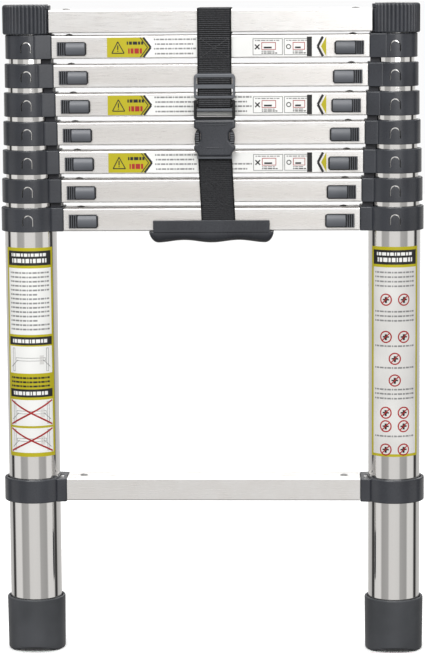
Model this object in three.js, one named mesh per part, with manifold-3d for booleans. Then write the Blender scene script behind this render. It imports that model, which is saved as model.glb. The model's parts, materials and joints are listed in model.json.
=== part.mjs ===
// Telescoping ladder, closed and strapped for carrying.
//
// Millimetres, +Z up, front of the ladder towards -Y. The origin is on the
// floor, midway between the two stiles. Each stile is a nest of eight steel
// tubes. A collar clamps the top of every tube, carries one rung and lets the
// next thinner tube slide through it. Spring latches on the rungs lock the
// tubes when the ladder is pulled out.

import * as THREE from "three";
import { mergeVertices } from "three/addons/utils/BufferGeometryUtils.js";
import Module from "manifold-3d";

const wasm = await Module();
wasm.setup();

// ---------------------------------------------------------------- dimensions

const GAP = 0.3; // clearance between pieces that touch
const ROUND_SIDES = 28; // facets around every tube and collar
const PIN_SIDES = 12;
const SWEEP_SIDES = 6; // straight steps in each curve of a swept outline
const WELD = 1e-4; // vertices closer than this are one

const STILE_X = 200; // stile axis to the middle of the ladder
const TUBE_COUNT = 8;
const TUBE_R = 28.5; // outermost tube, outside radius
const TUBE_R_STEP = 1.2; // each tube is this much smaller in radius than the last
const TUBE_WALL = 0.8;
const INNER_TUBE_LENGTH = 385;
const TRAVEL = 268.7; // how far each section pulls out

const RUNG_DEPTH = 40;
const RUNG_HEIGHT = 25;
const RUNG_WALL = 1.6;
const RUNG_CORNER_R = 1.5;
const FOOT_RUNG_Z = 170.5; // underside of the fixed lowest rung
const FIRST_RUNG_Z = 470.5; // underside of the lowest sliding rung
const RUNG_PITCH = 31.3; // closed spacing of the stacked rungs
const TOP_RUNG_Z = 686.1;

const COLLAR_WALL = 3.5;
const COLLAR_HEIGHT = 26.2;
const COLLAR_DROP = 0.1; // how far a collar reaches below its rung
const FIXED_COLLAR_DROP = 1.1;
const COLLAR_SEAT = 20; // depth of the seat that grips the tube below
const WIPER_CLEARANCE = 0.4;
const BOX_DEPTH = 42; // rung socket of the collar, front to back
const BOX_END = 38; // stile axis to the end of the largest rung socket
const BOX_END_STEP = 1.73;
const SPIGOT_LENGTH = 12;
const OVERLAP = 1; // how far joined shapes and cutters run into each other
const STOP_DEPTH = 30; // stop pad that the next collar rests on
const STOP_SETBACK = 3;
const FIXED_COLLAR_R = 33.4;
const FIXED_BOX_END = 37.4;

const CAP_R = 27.6;
const CAP_Z = 684.7;
const CAP_HEIGHT = 32.3;
const CAP_ROOF = 5;
const CAP_FLAT = 21; // above the rung, the cap's inner side is cut flat here
const CAP_TONGUE_REACH = 24.4;
const CAP_TONGUE_DEPTH = 24;
const CAP_TONGUE_DROP = 1; // the tongue's top lies this far below the cap's
const CAP_RUNG_ENTRY = 8; // how far the top rung reaches into a cap

const FOOT_R_TOP = 32.4;
const FOOT_R_BASE = 31.8;
const FOOT_HEIGHT = 59.8;
const FOOT_FLOOR = 10;
const SOLE_HALF = 20; // half of the flat patch under the foot
const SOLE_RISE = 6; // how far the front and back edges lift

const LATCH_INSET = 6; // rung socket to the thumb button
const BUTTON_LENGTH = 32;
const BUTTON_HEIGHT = 15;
const BUTTON_DROP = 1.6; // button centre below the rung's centre
const BUTTON_FRONT = 25;
const STEM_INSET = 15;
const STEM_LENGTH = 14;
const STEM_HEIGHT = 8;
const CARRIER_BACK = 5;
const LATCH_TRAVEL = 6;
const PIN_R = 4;
const PIN_HOLE_R = 4.3;

const HANDLE_HALF = 68;
const HANDLE_TOP_HALF = 63.6;
const HANDLE_BOTTOM_Z = 457;
const HANDLE_FLANGE_Z = 482.5;
const HANDLE_FRONT = 25.5;
const GRIP_WAVE = 2.8; // depth of the finger hollows
const GRIP_PITCH = 60;
const GRIP_CREST = 60; // middle of the handle to the lowest point of each end
const GRIP_STEPS = 16;
const POCKET_MARGIN = 1; // room beside the webbing in the handle

const WEB_WIDTH = 37;
const WEB_THICK = 1.4;
const WEB_X = 4.5; // the strap sits a little off centre
const WEB_CORNER = 1.7; // cut of the corners where the webbing folds
const TAIL_Z = 655.5; // sewn end of the upper webbing
const WEB_TUCK = 2; // lower end of the strap above the underside of the rung
const WEB_LEAN_Z = [490.5, 532.7]; // the lower webbing starts and ends its lean to the buckle
const WEB_LEAN = [1.5, 3]; // how far it then stands off the rungs
const BUCKLE_BACK = 20.6;
const BUCKLE_FRONT = 32.6;
const BUCKLE_WIDTH = 44.8;
const BUCKLE_LOW_WIDTH = 36;
const FEMALE_Z = [552.7, 592.7];
const MALE_TOP_Z = 613.5;
const BUCKLE_WALL = 2;
const SIDE_WINDOW_Z = [560.5, 580.5];
const SIDE_WINDOW_DEPTH = 7.5;
const PRONG_WIDTH = 6;
const PRONG_CLEARANCE = 7; // prong tips above the lower edge of the buckle
const POCKET_FLOOR = 6;
const BUCKLE_NECK = 1; // how far the lower body flares before the shoulders
const BUCKLE_NECK_RISE = 5;
const BUCKLE_SHOULDER_RISE = 8;
const SLOT_MARGIN = 3; // side rails of the male half
const LOWER_SLOT = [2, 5.5]; // measured up from the shoulder of the male half
const UPPER_SLOT_START = 9.5;
const TOP_BAR = 4;

// ------------------------------------------------------------ shape helpers

function solid(geometry) {
  const bare = geometry.index ? geometry.toNonIndexed() : geometry.clone();
  bare.deleteAttribute("normal");
  bare.deleteAttribute("uv");
  const merged = mergeVertices(bare, WELD);
  return new wasm.Manifold(
    new wasm.Mesh({
      numProp: 3,
      vertProperties: new Float32Array(merged.attributes.position.array),
      triVerts: new Uint32Array(merged.index.array),
    }),
  );
}

function geometryOf(shape) {
  const mesh = shape.getMesh();
  const geometry = new THREE.BufferGeometry();
  geometry.setAttribute("position", new THREE.BufferAttribute(mesh.vertProperties, 3));
  geometry.setIndex(new THREE.BufferAttribute(mesh.triVerts, 1));
  geometry.computeVertexNormals();
  return geometry;
}

// A box from its low corner to its high corner; the corners may come in either order.
function block([x0, x1], [y0, y1], [z0, z1]) {
  const box = new THREE.BoxGeometry(Math.abs(x1 - x0), Math.abs(y1 - y0), Math.abs(z1 - z0));
  box.translate((x0 + x1) / 2, (y0 + y1) / 2, (z0 + z1) / 2);
  return solid(box);
}

// A solid of revolution about a vertical axis at x, from [radius, z] points.
function turned(x, profile) {
  const points = profile.map(([radius, z]) => new THREE.Vector2(radius, z));
  const lathe = new THREE.LatheGeometry(points, ROUND_SIDES);
  lathe.rotateX(Math.PI / 2);
  lathe.translate(x, 0, 0);
  return solid(lathe);
}

function disc(x, radius, z0, z1) {
  return turned(x, [[0, z0], [radius, z0], [radius, z1], [0, z1]]);
}

// A rod along X from x0 to x1.
function rod(x0, x1, radius, y, z) {
  const cylinder = new THREE.CylinderGeometry(radius, radius, Math.abs(x1 - x0), PIN_SIDES);
  cylinder.rotateZ(Math.PI / 2);
  cylinder.translate((x0 + x1) / 2, y, z);
  return solid(cylinder);
}

// An outline in the YZ plane carried along X from x0 to x1.
function sweepX(shape, x0, x1) {
  const bar = new THREE.ExtrudeGeometry(shape, {
    depth: x1 - x0,
    bevelEnabled: false,
    curveSegments: SWEEP_SIDES / 2,
  });
  bar.applyMatrix4(
    new THREE.Matrix4().makeBasis(
      new THREE.Vector3(0, 1, 0),
      new THREE.Vector3(0, 0, 1),
      new THREE.Vector3(1, 0, 0),
    ),
  );
  bar.translate(x0, 0, 0);
  return solid(bar);
}

// An outline in the XZ plane carried along Y from y0 (front) to y1 (back).
function sweepY(shape, y0, y1) {
  const plate = new THREE.ExtrudeGeometry(shape, {
    depth: y1 - y0,
    bevelEnabled: false,
    curveSegments: SWEEP_SIDES,
  });
  plate.rotateX(Math.PI / 2);
  plate.translate(0, y1, 0);
  return solid(plate);
}

function polygon(points) {
  return new THREE.Shape(points.map(([a, b]) => new THREE.Vector2(a, b)));
}

// A band of even thickness that follows a path of [y, z] points.
function band(path, thickness) {
  const sides = [1, -1].map((side) =>
    path.map((point, i) => {
      const before = path[Math.max(i - 1, 0)];
      const after = path[Math.min(i + 1, path.length - 1)];
      const inward = new THREE.Vector2(point[0] - before[0], point[1] - before[1]);
      const outward = new THREE.Vector2(after[0] - point[0], after[1] - point[1]);
      if (inward.length() === 0) inward.copy(outward);
      if (outward.length() === 0) outward.copy(inward);
      const miter = inward.normalize().add(outward.normalize()).normalize();
      const reach = (side * thickness) / 2 / miter.dot(outward);
      return [point[0] - miter.y * reach, point[1] + miter.x * reach];
    }),
  );
  return polygon([...sides[0], ...sides[1].reverse()]);
}

// ------------------------------------------------------------ derived sizes

const tubeRadius = (k) => TUBE_R - TUBE_R_STEP * (k - 1);
const rungZ = (k) => {
  if (k === 1) return FOOT_RUNG_Z;
  return k === TUBE_COUNT + 1 ? TOP_RUNG_Z : FIRST_RUNG_Z + RUNG_PITCH * (k - 2);
};
const collarZ = (k) => rungZ(k) - (k === 1 ? FIXED_COLLAR_DROP : COLLAR_DROP);
const collarTop = (k) => collarZ(k) + COLLAR_HEIGHT;
const boxEnd = (k) => BOX_END - BOX_END_STEP * (k - 2);
const latchZ = (k) => rungZ(k) + RUNG_HEIGHT / 2 - BUTTON_DROP;
const SIDES = [
  { name: "left", x: -STILE_X, inward: 1 },
  { name: "right", x: STILE_X, inward: -1 },
];

// ------------------------------------------------------------------- stiles

function tubeSpan(k) {
  if (k === TUBE_COUNT) {
    const top = CAP_Z + CAP_HEIGHT - CAP_ROOF - GAP;
    return [top - INNER_TUBE_LENGTH, top];
  }
  const top = collarZ(k + 1) + COLLAR_SEAT - GAP;
  return k === 1 ? [FOOT_FLOOR + GAP, top] : [top - INNER_TUBE_LENGTH, top];
}

// Each tube has a window that its own collar's latch pin passes through, and
// each sliding tube has a lower hole where the pin below it locks.
function tube(k, side) {
  const outer = tubeRadius(k);
  const inner = outer - TUBE_WALL;
  const [z0, z1] = tubeSpan(k);
  let shape = turned(side.x, [[inner, z0], [outer, z0], [outer, z1], [inner, z1], [inner, z0]]);
  const holes = [];
  if (k < TUBE_COUNT) holes.push(latchZ(k + 1));
  if (k > 1) holes.push(latchZ(k) - TRAVEL);
  for (const z of holes) {
    const wallX = side.x + side.inward * outer;
    const drill = rod(wallX - side.inward * PIN_R, wallX + side.inward, PIN_HOLE_R, 0, z);
    shape = shape.subtract(drill);
  }
  return shape;
}

function foot(side) {
  const grip = TUBE_R + GAP;
  const cup = turned(side.x, [
    [0, 0],
    [FOOT_R_BASE, 0],
    [FOOT_R_TOP, FOOT_HEIGHT],
    [grip, FOOT_HEIGHT],
    [grip, FOOT_FLOOR],
    [0, FOOT_FLOOR],
  ]);
  const reach = FOOT_R_TOP + OVERLAP;
  const rise = (SOLE_RISE * (reach - SOLE_HALF)) / (FOOT_R_TOP - SOLE_HALF);
  const rocker = polygon([
    [-SOLE_HALF, 0],
    [SOLE_HALF, 0],
    [reach, rise],
    [reach, FOOT_HEIGHT + OVERLAP],
    [-reach, FOOT_HEIGHT + OVERLAP],
    [-reach, rise],
  ]);
  return cup.intersect(sweepX(rocker, side.x - reach, side.x + reach));
}

// ------------------------------------------------------------------ collars

// The part of a collar that reaches towards its rung: socket box and spigot.
function rungSocket(k, side, end) {
  const depth = [-BOX_DEPTH / 2, BOX_DEPTH / 2];
  const box = block([side.x, side.x + side.inward * end], depth, [collarZ(k), collarTop(k)]);
  const halfWide = RUNG_DEPTH / 2 - RUNG_WALL - GAP;
  const base = rungZ(k) + RUNG_WALL + GAP;
  const spigot = block(
    [side.x + side.inward * (end - OVERLAP), side.x + side.inward * (end + SPIGOT_LENGTH)],
    [-halfWide, halfWide],
    [base, base + RUNG_HEIGHT - 2 * (RUNG_WALL + GAP)],
  );
  return box.add(spigot);
}

function pinBore(side, end, z) {
  const reach = end + SPIGOT_LENGTH + OVERLAP;
  return rod(side.x, side.x + side.inward * reach, PIN_HOLE_R, 0, z);
}

function collar(k, side) {
  const gripped = tubeRadius(k - 1);
  const sliding = tubeRadius(k) + WIPER_CLEARANCE;
  const z = collarZ(k);
  const top = collarTop(k);
  let shape = disc(side.x, gripped + COLLAR_WALL, z, top).add(rungSocket(k, side, boxEnd(k)));
  if (k < TUBE_COUNT) {
    const pad = [side.x, side.x + side.inward * (boxEnd(k) - STOP_SETBACK)];
    const padTop = collarZ(k + 1) - GAP;
    shape = shape.add(block(pad, [-STOP_DEPTH / 2, STOP_DEPTH / 2], [top - OVERLAP, padTop]));
  }
  const bore = turned(side.x, [
    [0, z - OVERLAP],
    [gripped + GAP, z - OVERLAP],
    [gripped + GAP, z + COLLAR_SEAT],
    [sliding, z + COLLAR_SEAT],
    [sliding, top + RUNG_PITCH],
    [0, top + RUNG_PITCH],
  ]);
  return shape.subtract(bore).subtract(pinBore(side, boxEnd(k), latchZ(k)));
}

// -------------------------------------------------------------------- rungs

function rungOutline(z) {
  const half = RUNG_DEPTH / 2;
  const r = RUNG_CORNER_R;
  const top = z + RUNG_HEIGHT;
  const outline = new THREE.Shape();
  outline.moveTo(-half + r, z);
  outline.lineTo(half - r, z);
  outline.absarc(half - r, z + r, r, -Math.PI / 2, 0);
  outline.lineTo(half, top - r);
  outline.absarc(half - r, top - r, r, 0, Math.PI / 2);
  outline.lineTo(-half + r, top);
  outline.absarc(-half + r, top - r, r, Math.PI / 2, Math.PI);
  outline.lineTo(-half, z + r);
  outline.absarc(-half + r, z + r, r, Math.PI, 1.5 * Math.PI);
  return outline;
}

function rungHollow(z) {
  const half = RUNG_DEPTH / 2 - RUNG_WALL;
  const [low, high] = [z + RUNG_WALL, z + RUNG_HEIGHT - RUNG_WALL];
  return polygon([[-half, low], [half, low], [half, high], [-half, high]]);
}

function rungTube(z, end) {
  const reach = STILE_X - end;
  return sweepX(rungOutline(z), -reach, reach).subtract(
    sweepX(rungHollow(z), -reach - OVERLAP, reach + OVERLAP),
  );
}

// A sliding rung, with a slot in its front wall for each latch stem.
function rung(k) {
  const end = boxEnd(k) + GAP;
  let shape = rungTube(rungZ(k), end);
  for (const side of SIDES) {
    const start = boxEnd(k) + STEM_INSET - 2 * GAP;
    const stop = boxEnd(k) + STEM_INSET + STEM_LENGTH + LATCH_TRAVEL + 2 * GAP;
    const slot = block(
      [side.x + side.inward * start, side.x + side.inward * stop],
      [-RUNG_DEPTH / 2 - OVERLAP, -RUNG_DEPTH / 2 + RUNG_WALL + OVERLAP],
      [latchZ(k) - STEM_HEIGHT / 2 - GAP, latchZ(k) + STEM_HEIGHT / 2 + GAP],
    );
    shape = shape.subtract(slot);
  }
  return shape;
}

// The fixed rung and the two collars that clamp it part-way up the outer tubes.
function fixedRung() {
  const z = rungZ(1);
  let shape = rungTube(z, FIXED_BOX_END - OVERLAP);
  for (const side of SIDES) {
    const bore = disc(side.x, TUBE_R + GAP, collarZ(1) - OVERLAP, collarTop(1) + OVERLAP);
    const clamp = disc(side.x, FIXED_COLLAR_R, collarZ(1), collarTop(1))
      .add(rungSocket(1, side, FIXED_BOX_END))
      .subtract(pinBore(side, FIXED_BOX_END, z + RUNG_HEIGHT / 2));
    shape = shape.add(clamp).subtract(bore);
  }
  return shape;
}

// The top rung and the two caps that close the thinnest tubes.
function cappedRung() {
  const z = rungZ(TUBE_COUNT + 1);
  const capTop = CAP_Z + CAP_HEIGHT;
  let shape = rungTube(z, CAP_R - CAP_RUNG_ENTRY);
  for (const side of SIDES) {
    const tongue = block(
      [side.x, side.x + side.inward * CAP_TONGUE_REACH],
      [-CAP_TONGUE_DEPTH / 2, CAP_TONGUE_DEPTH / 2],
      [z + RUNG_HEIGHT - OVERLAP, capTop - CAP_TONGUE_DROP],
    );
    const socket = disc(
      side.x,
      tubeRadius(TUBE_COUNT) + GAP,
      CAP_Z - OVERLAP,
      capTop - CAP_ROOF,
    );
    const airWay = rod(
      side.x,
      side.x + side.inward * (CAP_R + OVERLAP),
      PIN_HOLE_R,
      0,
      z + RUNG_HEIGHT / 2,
    );
    const flat = block(
      [side.x + side.inward * CAP_FLAT, side.x + side.inward * (CAP_R + OVERLAP)],
      [-CAP_R, CAP_R],
      [z + RUNG_HEIGHT, capTop + OVERLAP],
    );
    const cap = disc(side.x, CAP_R, CAP_Z, capTop).subtract(flat).add(tongue);
    shape = shape.add(cap).subtract(socket).subtract(airWay);
  }
  return shape;
}

// ------------------------------------------------------------------ latches

// Thumb button, stem, carrier and lock pin move as one.
function latch(k, side) {
  const z = latchZ(k);
  const at = (u) => side.x + side.inward * u;
  const buttonStart = boxEnd(k) + LATCH_INSET;
  const stemStart = boxEnd(k) + STEM_INSET;
  const front = -RUNG_DEPTH / 2 - GAP;
  const button = block(
    [at(buttonStart), at(buttonStart + BUTTON_LENGTH)],
    [-BUTTON_FRONT, front],
    [z - BUTTON_HEIGHT / 2, z + BUTTON_HEIGHT / 2],
  );
  const stem = block(
    [at(stemStart), at(stemStart + STEM_LENGTH)],
    [front - OVERLAP, CARRIER_BACK],
    [z - STEM_HEIGHT / 2, z + STEM_HEIGHT / 2],
  );
  const pinTip = tubeRadius(k - 1) - TUBE_WALL;
  const pin = rod(at(pinTip), at(stemStart + STEM_LENGTH / 2), PIN_R, 0, z);
  return button.add(stem).add(pin);
}

// ------------------------------------------------------- handle and strap

// Underside of the carry handle: three swells with two finger hollows between.
function gripOutline() {
  const outline = new THREE.Shape();
  const top = rungZ(2) - GAP;
  outline.moveTo(-HANDLE_HALF, top);
  outline.quadraticCurveTo(-HANDLE_HALF, HANDLE_BOTTOM_Z, -GRIP_CREST, HANDLE_BOTTOM_Z);
  for (let i = 1; i < GRIP_STEPS; i += 1) {
    const x = -GRIP_CREST + (2 * GRIP_CREST * i) / GRIP_STEPS;
    const wave = (1 - Math.cos((2 * Math.PI * x) / GRIP_PITCH)) / 2;
    outline.lineTo(x, HANDLE_BOTTOM_Z + GRIP_WAVE * wave);
  }
  outline.lineTo(GRIP_CREST, HANDLE_BOTTOM_Z);
  outline.quadraticCurveTo(HANDLE_HALF, HANDLE_BOTTOM_Z, HANDLE_HALF, top);
  return outline;
}

function carryHandle() {
  const top = rungZ(2) - GAP;
  const face = RUNG_DEPTH / 2 + GAP;
  const grip = sweepY(gripOutline(), -HANDLE_FRONT, HANDLE_FRONT);
  const span = [-HANDLE_TOP_HALF, HANDLE_TOP_HALF];
  const frontFlange = block(span, [-HANDLE_FRONT, -face], [top - OVERLAP, HANDLE_FLANGE_Z]);
  const backFlange = block(span, [face, HANDLE_FRONT], [top - OVERLAP, HANDLE_FLANGE_Z]);
  const pocket = block(
    [WEB_X - WEB_WIDTH / 2 - POCKET_MARGIN, WEB_X + WEB_WIDTH / 2 + POCKET_MARGIN],
    [-face - WEB_THICK - 2 * GAP, -face + OVERLAP],
    [top, HANDLE_FLANGE_Z + OVERLAP],
  );
  return grip.add(frontFlange).add(backFlange).subtract(pocket);
}

const WEB_SPAN = [WEB_X - WEB_WIDTH / 2, WEB_X + WEB_WIDTH / 2];
const WEB_REST = RUNG_DEPTH / 2 + GAP + WEB_THICK / 2; // webbing flat on the rungs

// Upper webbing: sewn loop around the top rung, then down to the buckle.
function upperStrap() {
  const over = TOP_RUNG_Z + RUNG_HEIGHT + GAP + WEB_THICK / 2;
  const under = TOP_RUNG_Z - (TOP_RUNG_Z - rungZ(TUBE_COUNT) - RUNG_HEIGHT) / 2;
  const run = WEB_REST + WEB_THICK + GAP;
  const path = [
    [-WEB_REST, TAIL_Z],
    [-WEB_REST, under - WEB_CORNER],
    [-WEB_REST + WEB_CORNER, under],
    [WEB_REST - WEB_CORNER, under],
    [WEB_REST, under + WEB_CORNER],
    [WEB_REST, over - WEB_CORNER],
    [WEB_REST - WEB_CORNER, over],
    [-run + WEB_CORNER, over],
    [-run, over - WEB_CORNER],
    [-run, MALE_TOP_Z + GAP],
  ];
  return sweepX(band(path, WEB_THICK), ...WEB_SPAN);
}

// Lower webbing: from the buckle down behind the flange of the carry handle.
function lowerStrap() {
  const path = [
    [-WEB_REST, rungZ(2) + WEB_TUCK],
    [-WEB_REST, WEB_LEAN_Z[0]],
    [-WEB_REST - WEB_LEAN[0], WEB_LEAN_Z[1]],
    [-WEB_REST - WEB_LEAN[1], FEMALE_Z[0] - GAP],
  ];
  return sweepX(band(path, WEB_THICK), ...WEB_SPAN);
}

function femaleOutline() {
  const half = BUCKLE_WIDTH / 2;
  const low = BUCKLE_LOW_WIDTH / 2;
  const [bottom, top] = FEMALE_Z;
  const rightSide = [
    [low, bottom],
    [low + BUCKLE_NECK, bottom + BUCKLE_NECK_RISE],
    [half, bottom + BUCKLE_SHOULDER_RISE],
    [half, top],
  ];
  const leftSide = rightSide.map(([u, v]) => [WEB_X - u, v]).reverse();
  return polygon([...rightSide.map(([u, v]) => [WEB_X + u, v]), ...leftSide]);
}

// Female half: a flat pocket, open at the top and at both sides.
function buckleFemale() {
  const [bottom, top] = FEMALE_Z;
  const half = BUCKLE_WIDTH / 2;
  const pocket = block(
    [WEB_X - half + BUCKLE_WALL, WEB_X + half - BUCKLE_WALL],
    [-BUCKLE_FRONT + BUCKLE_WALL, -BUCKLE_BACK - BUCKLE_WALL],
    [bottom + POCKET_FLOOR, top + OVERLAP],
  );
  let shape = sweepY(femaleOutline(), -BUCKLE_FRONT, -BUCKLE_BACK).subtract(pocket);
  for (const side of [-1, 1]) {
    const window = block(
      [WEB_X + side * (half - SIDE_WINDOW_DEPTH), WEB_X + side * (half + OVERLAP)],
      [-BUCKLE_FRONT - OVERLAP, -BUCKLE_BACK + OVERLAP],
      SIDE_WINDOW_Z,
    );
    shape = shape.subtract(window);
  }
  return shape;
}

// Male half: a frame with a webbing slot, and two prongs down into the pocket.
function buckleMale() {
  const half = BUCKLE_WIDTH / 2;
  const shoulder = FEMALE_Z[1] + GAP;
  const depth = [-BUCKLE_FRONT + BUCKLE_WALL + GAP, -BUCKLE_BACK - BUCKLE_WALL - GAP];
  const frame = block([WEB_X - half, WEB_X + half], depth, [shoulder, MALE_TOP_Z]);
  const slotWidth = [WEB_X - half + SLOT_MARGIN, WEB_X + half - SLOT_MARGIN];
  const through = [-BUCKLE_FRONT, -BUCKLE_BACK];
  const lowerSlot = block(slotWidth, through, [shoulder + LOWER_SLOT[0], shoulder + LOWER_SLOT[1]]);
  const upperSlot = block(slotWidth, through, [shoulder + UPPER_SLOT_START, MALE_TOP_Z - TOP_BAR]);
  let shape = frame.subtract(lowerSlot).subtract(upperSlot);
  for (const side of [-1, 1]) {
    const outer = half - BUCKLE_WALL - GAP;
    const prong = block(
      [WEB_X + side * (outer - PRONG_WIDTH), WEB_X + side * outer],
      depth,
      [FEMALE_Z[0] + PRONG_CLEARANCE, shoulder + OVERLAP],
    );
    shape = shape.add(prong);
  }
  return shape;
}

// ---------------------------------------------------------------- materials

function finish(color, roughness, metalness) {
  return () => new THREE.MeshStandardMaterial({ color, roughness, metalness });
}

const steel = finish(0xc9cbcc, 0.12, 1);
const aluminium = finish(0xe0dcd6, 0.38, 0.9);
const plastic = finish(0x474a50, 0.5, 0);
const button = finish(0x33363b, 0.45, 0);
const rubber = finish(0x3e4145, 0.7, 0);
const webbing = finish(0x1a1a1b, 0.9, 0);

// ----------------------------------------------------------------- assembly

const ladder = new THREE.Group();

function place(name, shape, material) {
  const mesh = new THREE.Mesh(geometryOf(shape), material());
  mesh.name = name;
  ladder.add(mesh);
}

for (const side of SIDES) {
  place(`foot_${side.name}`, foot(side), rubber);
  for (let k = 1; k <= TUBE_COUNT; k += 1) {
    place(`tube_${k}_${side.name}`, tube(k, side), steel);
  }
  for (let k = 2; k <= TUBE_COUNT; k += 1) {
    place(`collar_${k}_${side.name}`, collar(k, side), plastic);
    place(`latch_${k}_${side.name}`, latch(k, side), button);
  }
}

place("rung_1", fixedRung(), aluminium);
for (let k = 2; k <= TUBE_COUNT; k += 1) {
  place(`rung_${k}`, rung(k), aluminium);
}
place(`rung_${TUBE_COUNT + 1}`, cappedRung(), aluminium);

place("carry_handle", carryHandle(), plastic);
place("strap_upper", upperStrap(), webbing);
place("strap_lower", lowerStrap(), webbing);
place("buckle_female", buckleFemale(), plastic);
place("buckle_male", buckleMale(), plastic);

export default ladder;
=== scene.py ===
# %% [markdown]
# # A telescoping ladder, closed and strapped for carrying
#
# The ladder is two stiles, each a nest of eight polished steel tubes, with nine
# aluminium rungs between them. A moulded collar sits on top of every tube and holds a
# rung, and thumb latches on the rungs lock the tubes when the ladder is pulled out.
# The working model gives every place and size here. Blender adds the fine shapes,
# the finishes and the light. The frame is loaded first and its box kept for later.

import json
import math

import bmesh
import bpy
from mathutils import Matrix, Vector


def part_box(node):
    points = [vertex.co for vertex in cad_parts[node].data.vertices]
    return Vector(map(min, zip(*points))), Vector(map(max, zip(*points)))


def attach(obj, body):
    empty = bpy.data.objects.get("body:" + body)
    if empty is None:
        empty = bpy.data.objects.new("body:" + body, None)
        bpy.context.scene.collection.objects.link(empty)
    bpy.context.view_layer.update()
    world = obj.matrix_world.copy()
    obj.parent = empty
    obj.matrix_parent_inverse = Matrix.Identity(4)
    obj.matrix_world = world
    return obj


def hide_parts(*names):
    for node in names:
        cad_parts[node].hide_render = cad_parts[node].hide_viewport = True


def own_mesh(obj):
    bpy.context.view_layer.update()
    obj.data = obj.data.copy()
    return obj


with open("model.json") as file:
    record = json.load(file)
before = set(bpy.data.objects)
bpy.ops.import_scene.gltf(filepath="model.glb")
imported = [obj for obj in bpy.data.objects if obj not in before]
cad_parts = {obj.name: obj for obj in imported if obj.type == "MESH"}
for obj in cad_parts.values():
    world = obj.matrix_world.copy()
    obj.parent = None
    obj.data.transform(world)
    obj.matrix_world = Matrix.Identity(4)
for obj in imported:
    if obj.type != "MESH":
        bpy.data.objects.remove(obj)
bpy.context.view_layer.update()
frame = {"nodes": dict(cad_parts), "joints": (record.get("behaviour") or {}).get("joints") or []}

MM = 0.001  # sizes below are in millimetres and Blender's are in metres
SIDES = {"left": 1, "right": -1}  # the way from each stile towards the middle


def box_mm(node):
    low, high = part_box(node)
    return low / MM, high / MM


TUBE_COUNT = sum(name.startswith("tube_") for name in frame["nodes"]) // 2
STILE_X = sum(corner.x for corner in box_mm("tube_1_right")) / 2
print(f"{TUBE_COUNT} tubes a side, stiles {2 * STILE_X:.1f} mm apart")

# %% [markdown]
# ## Camera
#
# A tall object such as a ladder is best looked at from a few metres off with a long lens, so
# that its stiles stay nearly parallel. The camera here stands 2.9 m in front at about
# the height of the top rung, a little to the right, and looks slightly down.

# %% Camera
CAMERA_PLACE = Vector((0.1115, -2.9124, 0.7544))
CAMERA_TURN = math.radians(2.20)
CAMERA_PITCH = math.radians(-7.66)
CAMERA_ROLL = math.radians(-0.40)
LENS_MM = 146.66

camera = bpy.data.objects.new("camera", bpy.data.cameras.new("camera"))
camera.data.lens = LENS_MM
camera.matrix_world = (
    Matrix.Translation(CAMERA_PLACE)
    @ Matrix.Rotation(CAMERA_TURN, 4, "Z")
    @ Matrix.Rotation(math.pi / 2 + CAMERA_PITCH, 4, "X")
    @ Matrix.Rotation(CAMERA_ROLL, 4, "Z")
)
bpy.context.scene.collection.objects.link(camera)
bpy.context.scene.camera = camera
bpy.context.scene.view_settings.view_transform = "Standard"
print("camera stands", round(-CAMERA_PLACE.y, 2), "m in front")

# %% [markdown]
# ## Floor, light and what the steel mirrors
#
# Polished steel has hardly any colour of its own: it shows the room. A photographer
# stands white and grey panels round a tube to draw bright and dark upright bands on
# it. One way is to build the panels as lights. Another, used here, is to paint them
# into the sky, which costs nothing to render. The sky turns from band to band with
# the compass direction and only mirror rays see the bands. The backdrop is plain, and
# soft light falls mostly from above, so mouldings get bright top edges and dark undersides. The floor is
# hidden from mirror rays and from bounced light, so it doesn't wash either of them out.

# %% Floor and world
FLOOR_HALF = 6.0
BACKDROP = 0.97
# Height on the unit sky, and how brightly it lights everything from there.
SOFT_SKY = [(0.0, 0.16), (0.42, 0.22), (0.56, 0.70), (0.75, 1.15), (1.0, 1.35)]
# Height again, and how much the mirrored bands are dimmed or raised there.
MIRROR_HEIGHTS = [
    (0.0, 0.25), (0.25, 0.45), (0.38, 0.88), (0.49, 1.0), (0.505, 0.06), (0.565, 0.08),
    (0.600, 0.50), (0.66, 0.60), (0.78, 1.3), (1.0, 1.5),
]
# Half turn from the camera's side (0) to behind the ladder (1), and brightness there.
MIRROR_BANDS = [
    (0.00, 0.86), (0.12, 0.84), (0.15, 0.50), (0.31, 0.44), (0.35, 0.92), (0.52, 0.88),
    (0.56, 0.06), (0.63, 0.05), (0.67, 0.62), (1.00, 0.80),
]


def add_node(tree, kind, **settings):
    node = tree.nodes.new(kind)
    for key, value in settings.items():
        setattr(node, key, value)
    return node


def calculate(tree, operation, *inputs):
    node = add_node(tree, "ShaderNodeMath", operation=operation)
    for place, value in enumerate(inputs):
        if isinstance(value, (int, float)):
            node.inputs[place].default_value = value
        else:
            tree.links.new(value, node.inputs[place])
    return node.outputs[0]


def colour_ramp(tree, factor, stops):
    ramp = add_node(tree, "ShaderNodeValToRGB")
    elements = ramp.color_ramp.elements
    while len(elements) < len(stops):
        elements.new(0.5)
    for element, (position, colour) in zip(elements, stops):
        element.position = position
        element.color = (*colour, 1)
    tree.links.new(factor, ramp.inputs["Fac"])
    return ramp.outputs["Color"]


def greys(levels, tint=(1, 1, 1)):
    return [(at, tuple(level * part for part in tint)) for at, level in levels]


def sky_light(tree, colour):
    background = add_node(tree, "ShaderNodeBackground")
    tree.links.new(colour, background.inputs["Color"])
    return background.outputs[0]


def chosen(tree, ray, otherwise, when_true):
    chooser = add_node(tree, "ShaderNodeMixShader")
    tree.links.new(add_node(tree, "ShaderNodeLightPath").outputs[ray], chooser.inputs[0])
    tree.links.new(otherwise, chooser.inputs[1])
    tree.links.new(when_true, chooser.inputs[2])
    return chooser.outputs[0]


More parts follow.
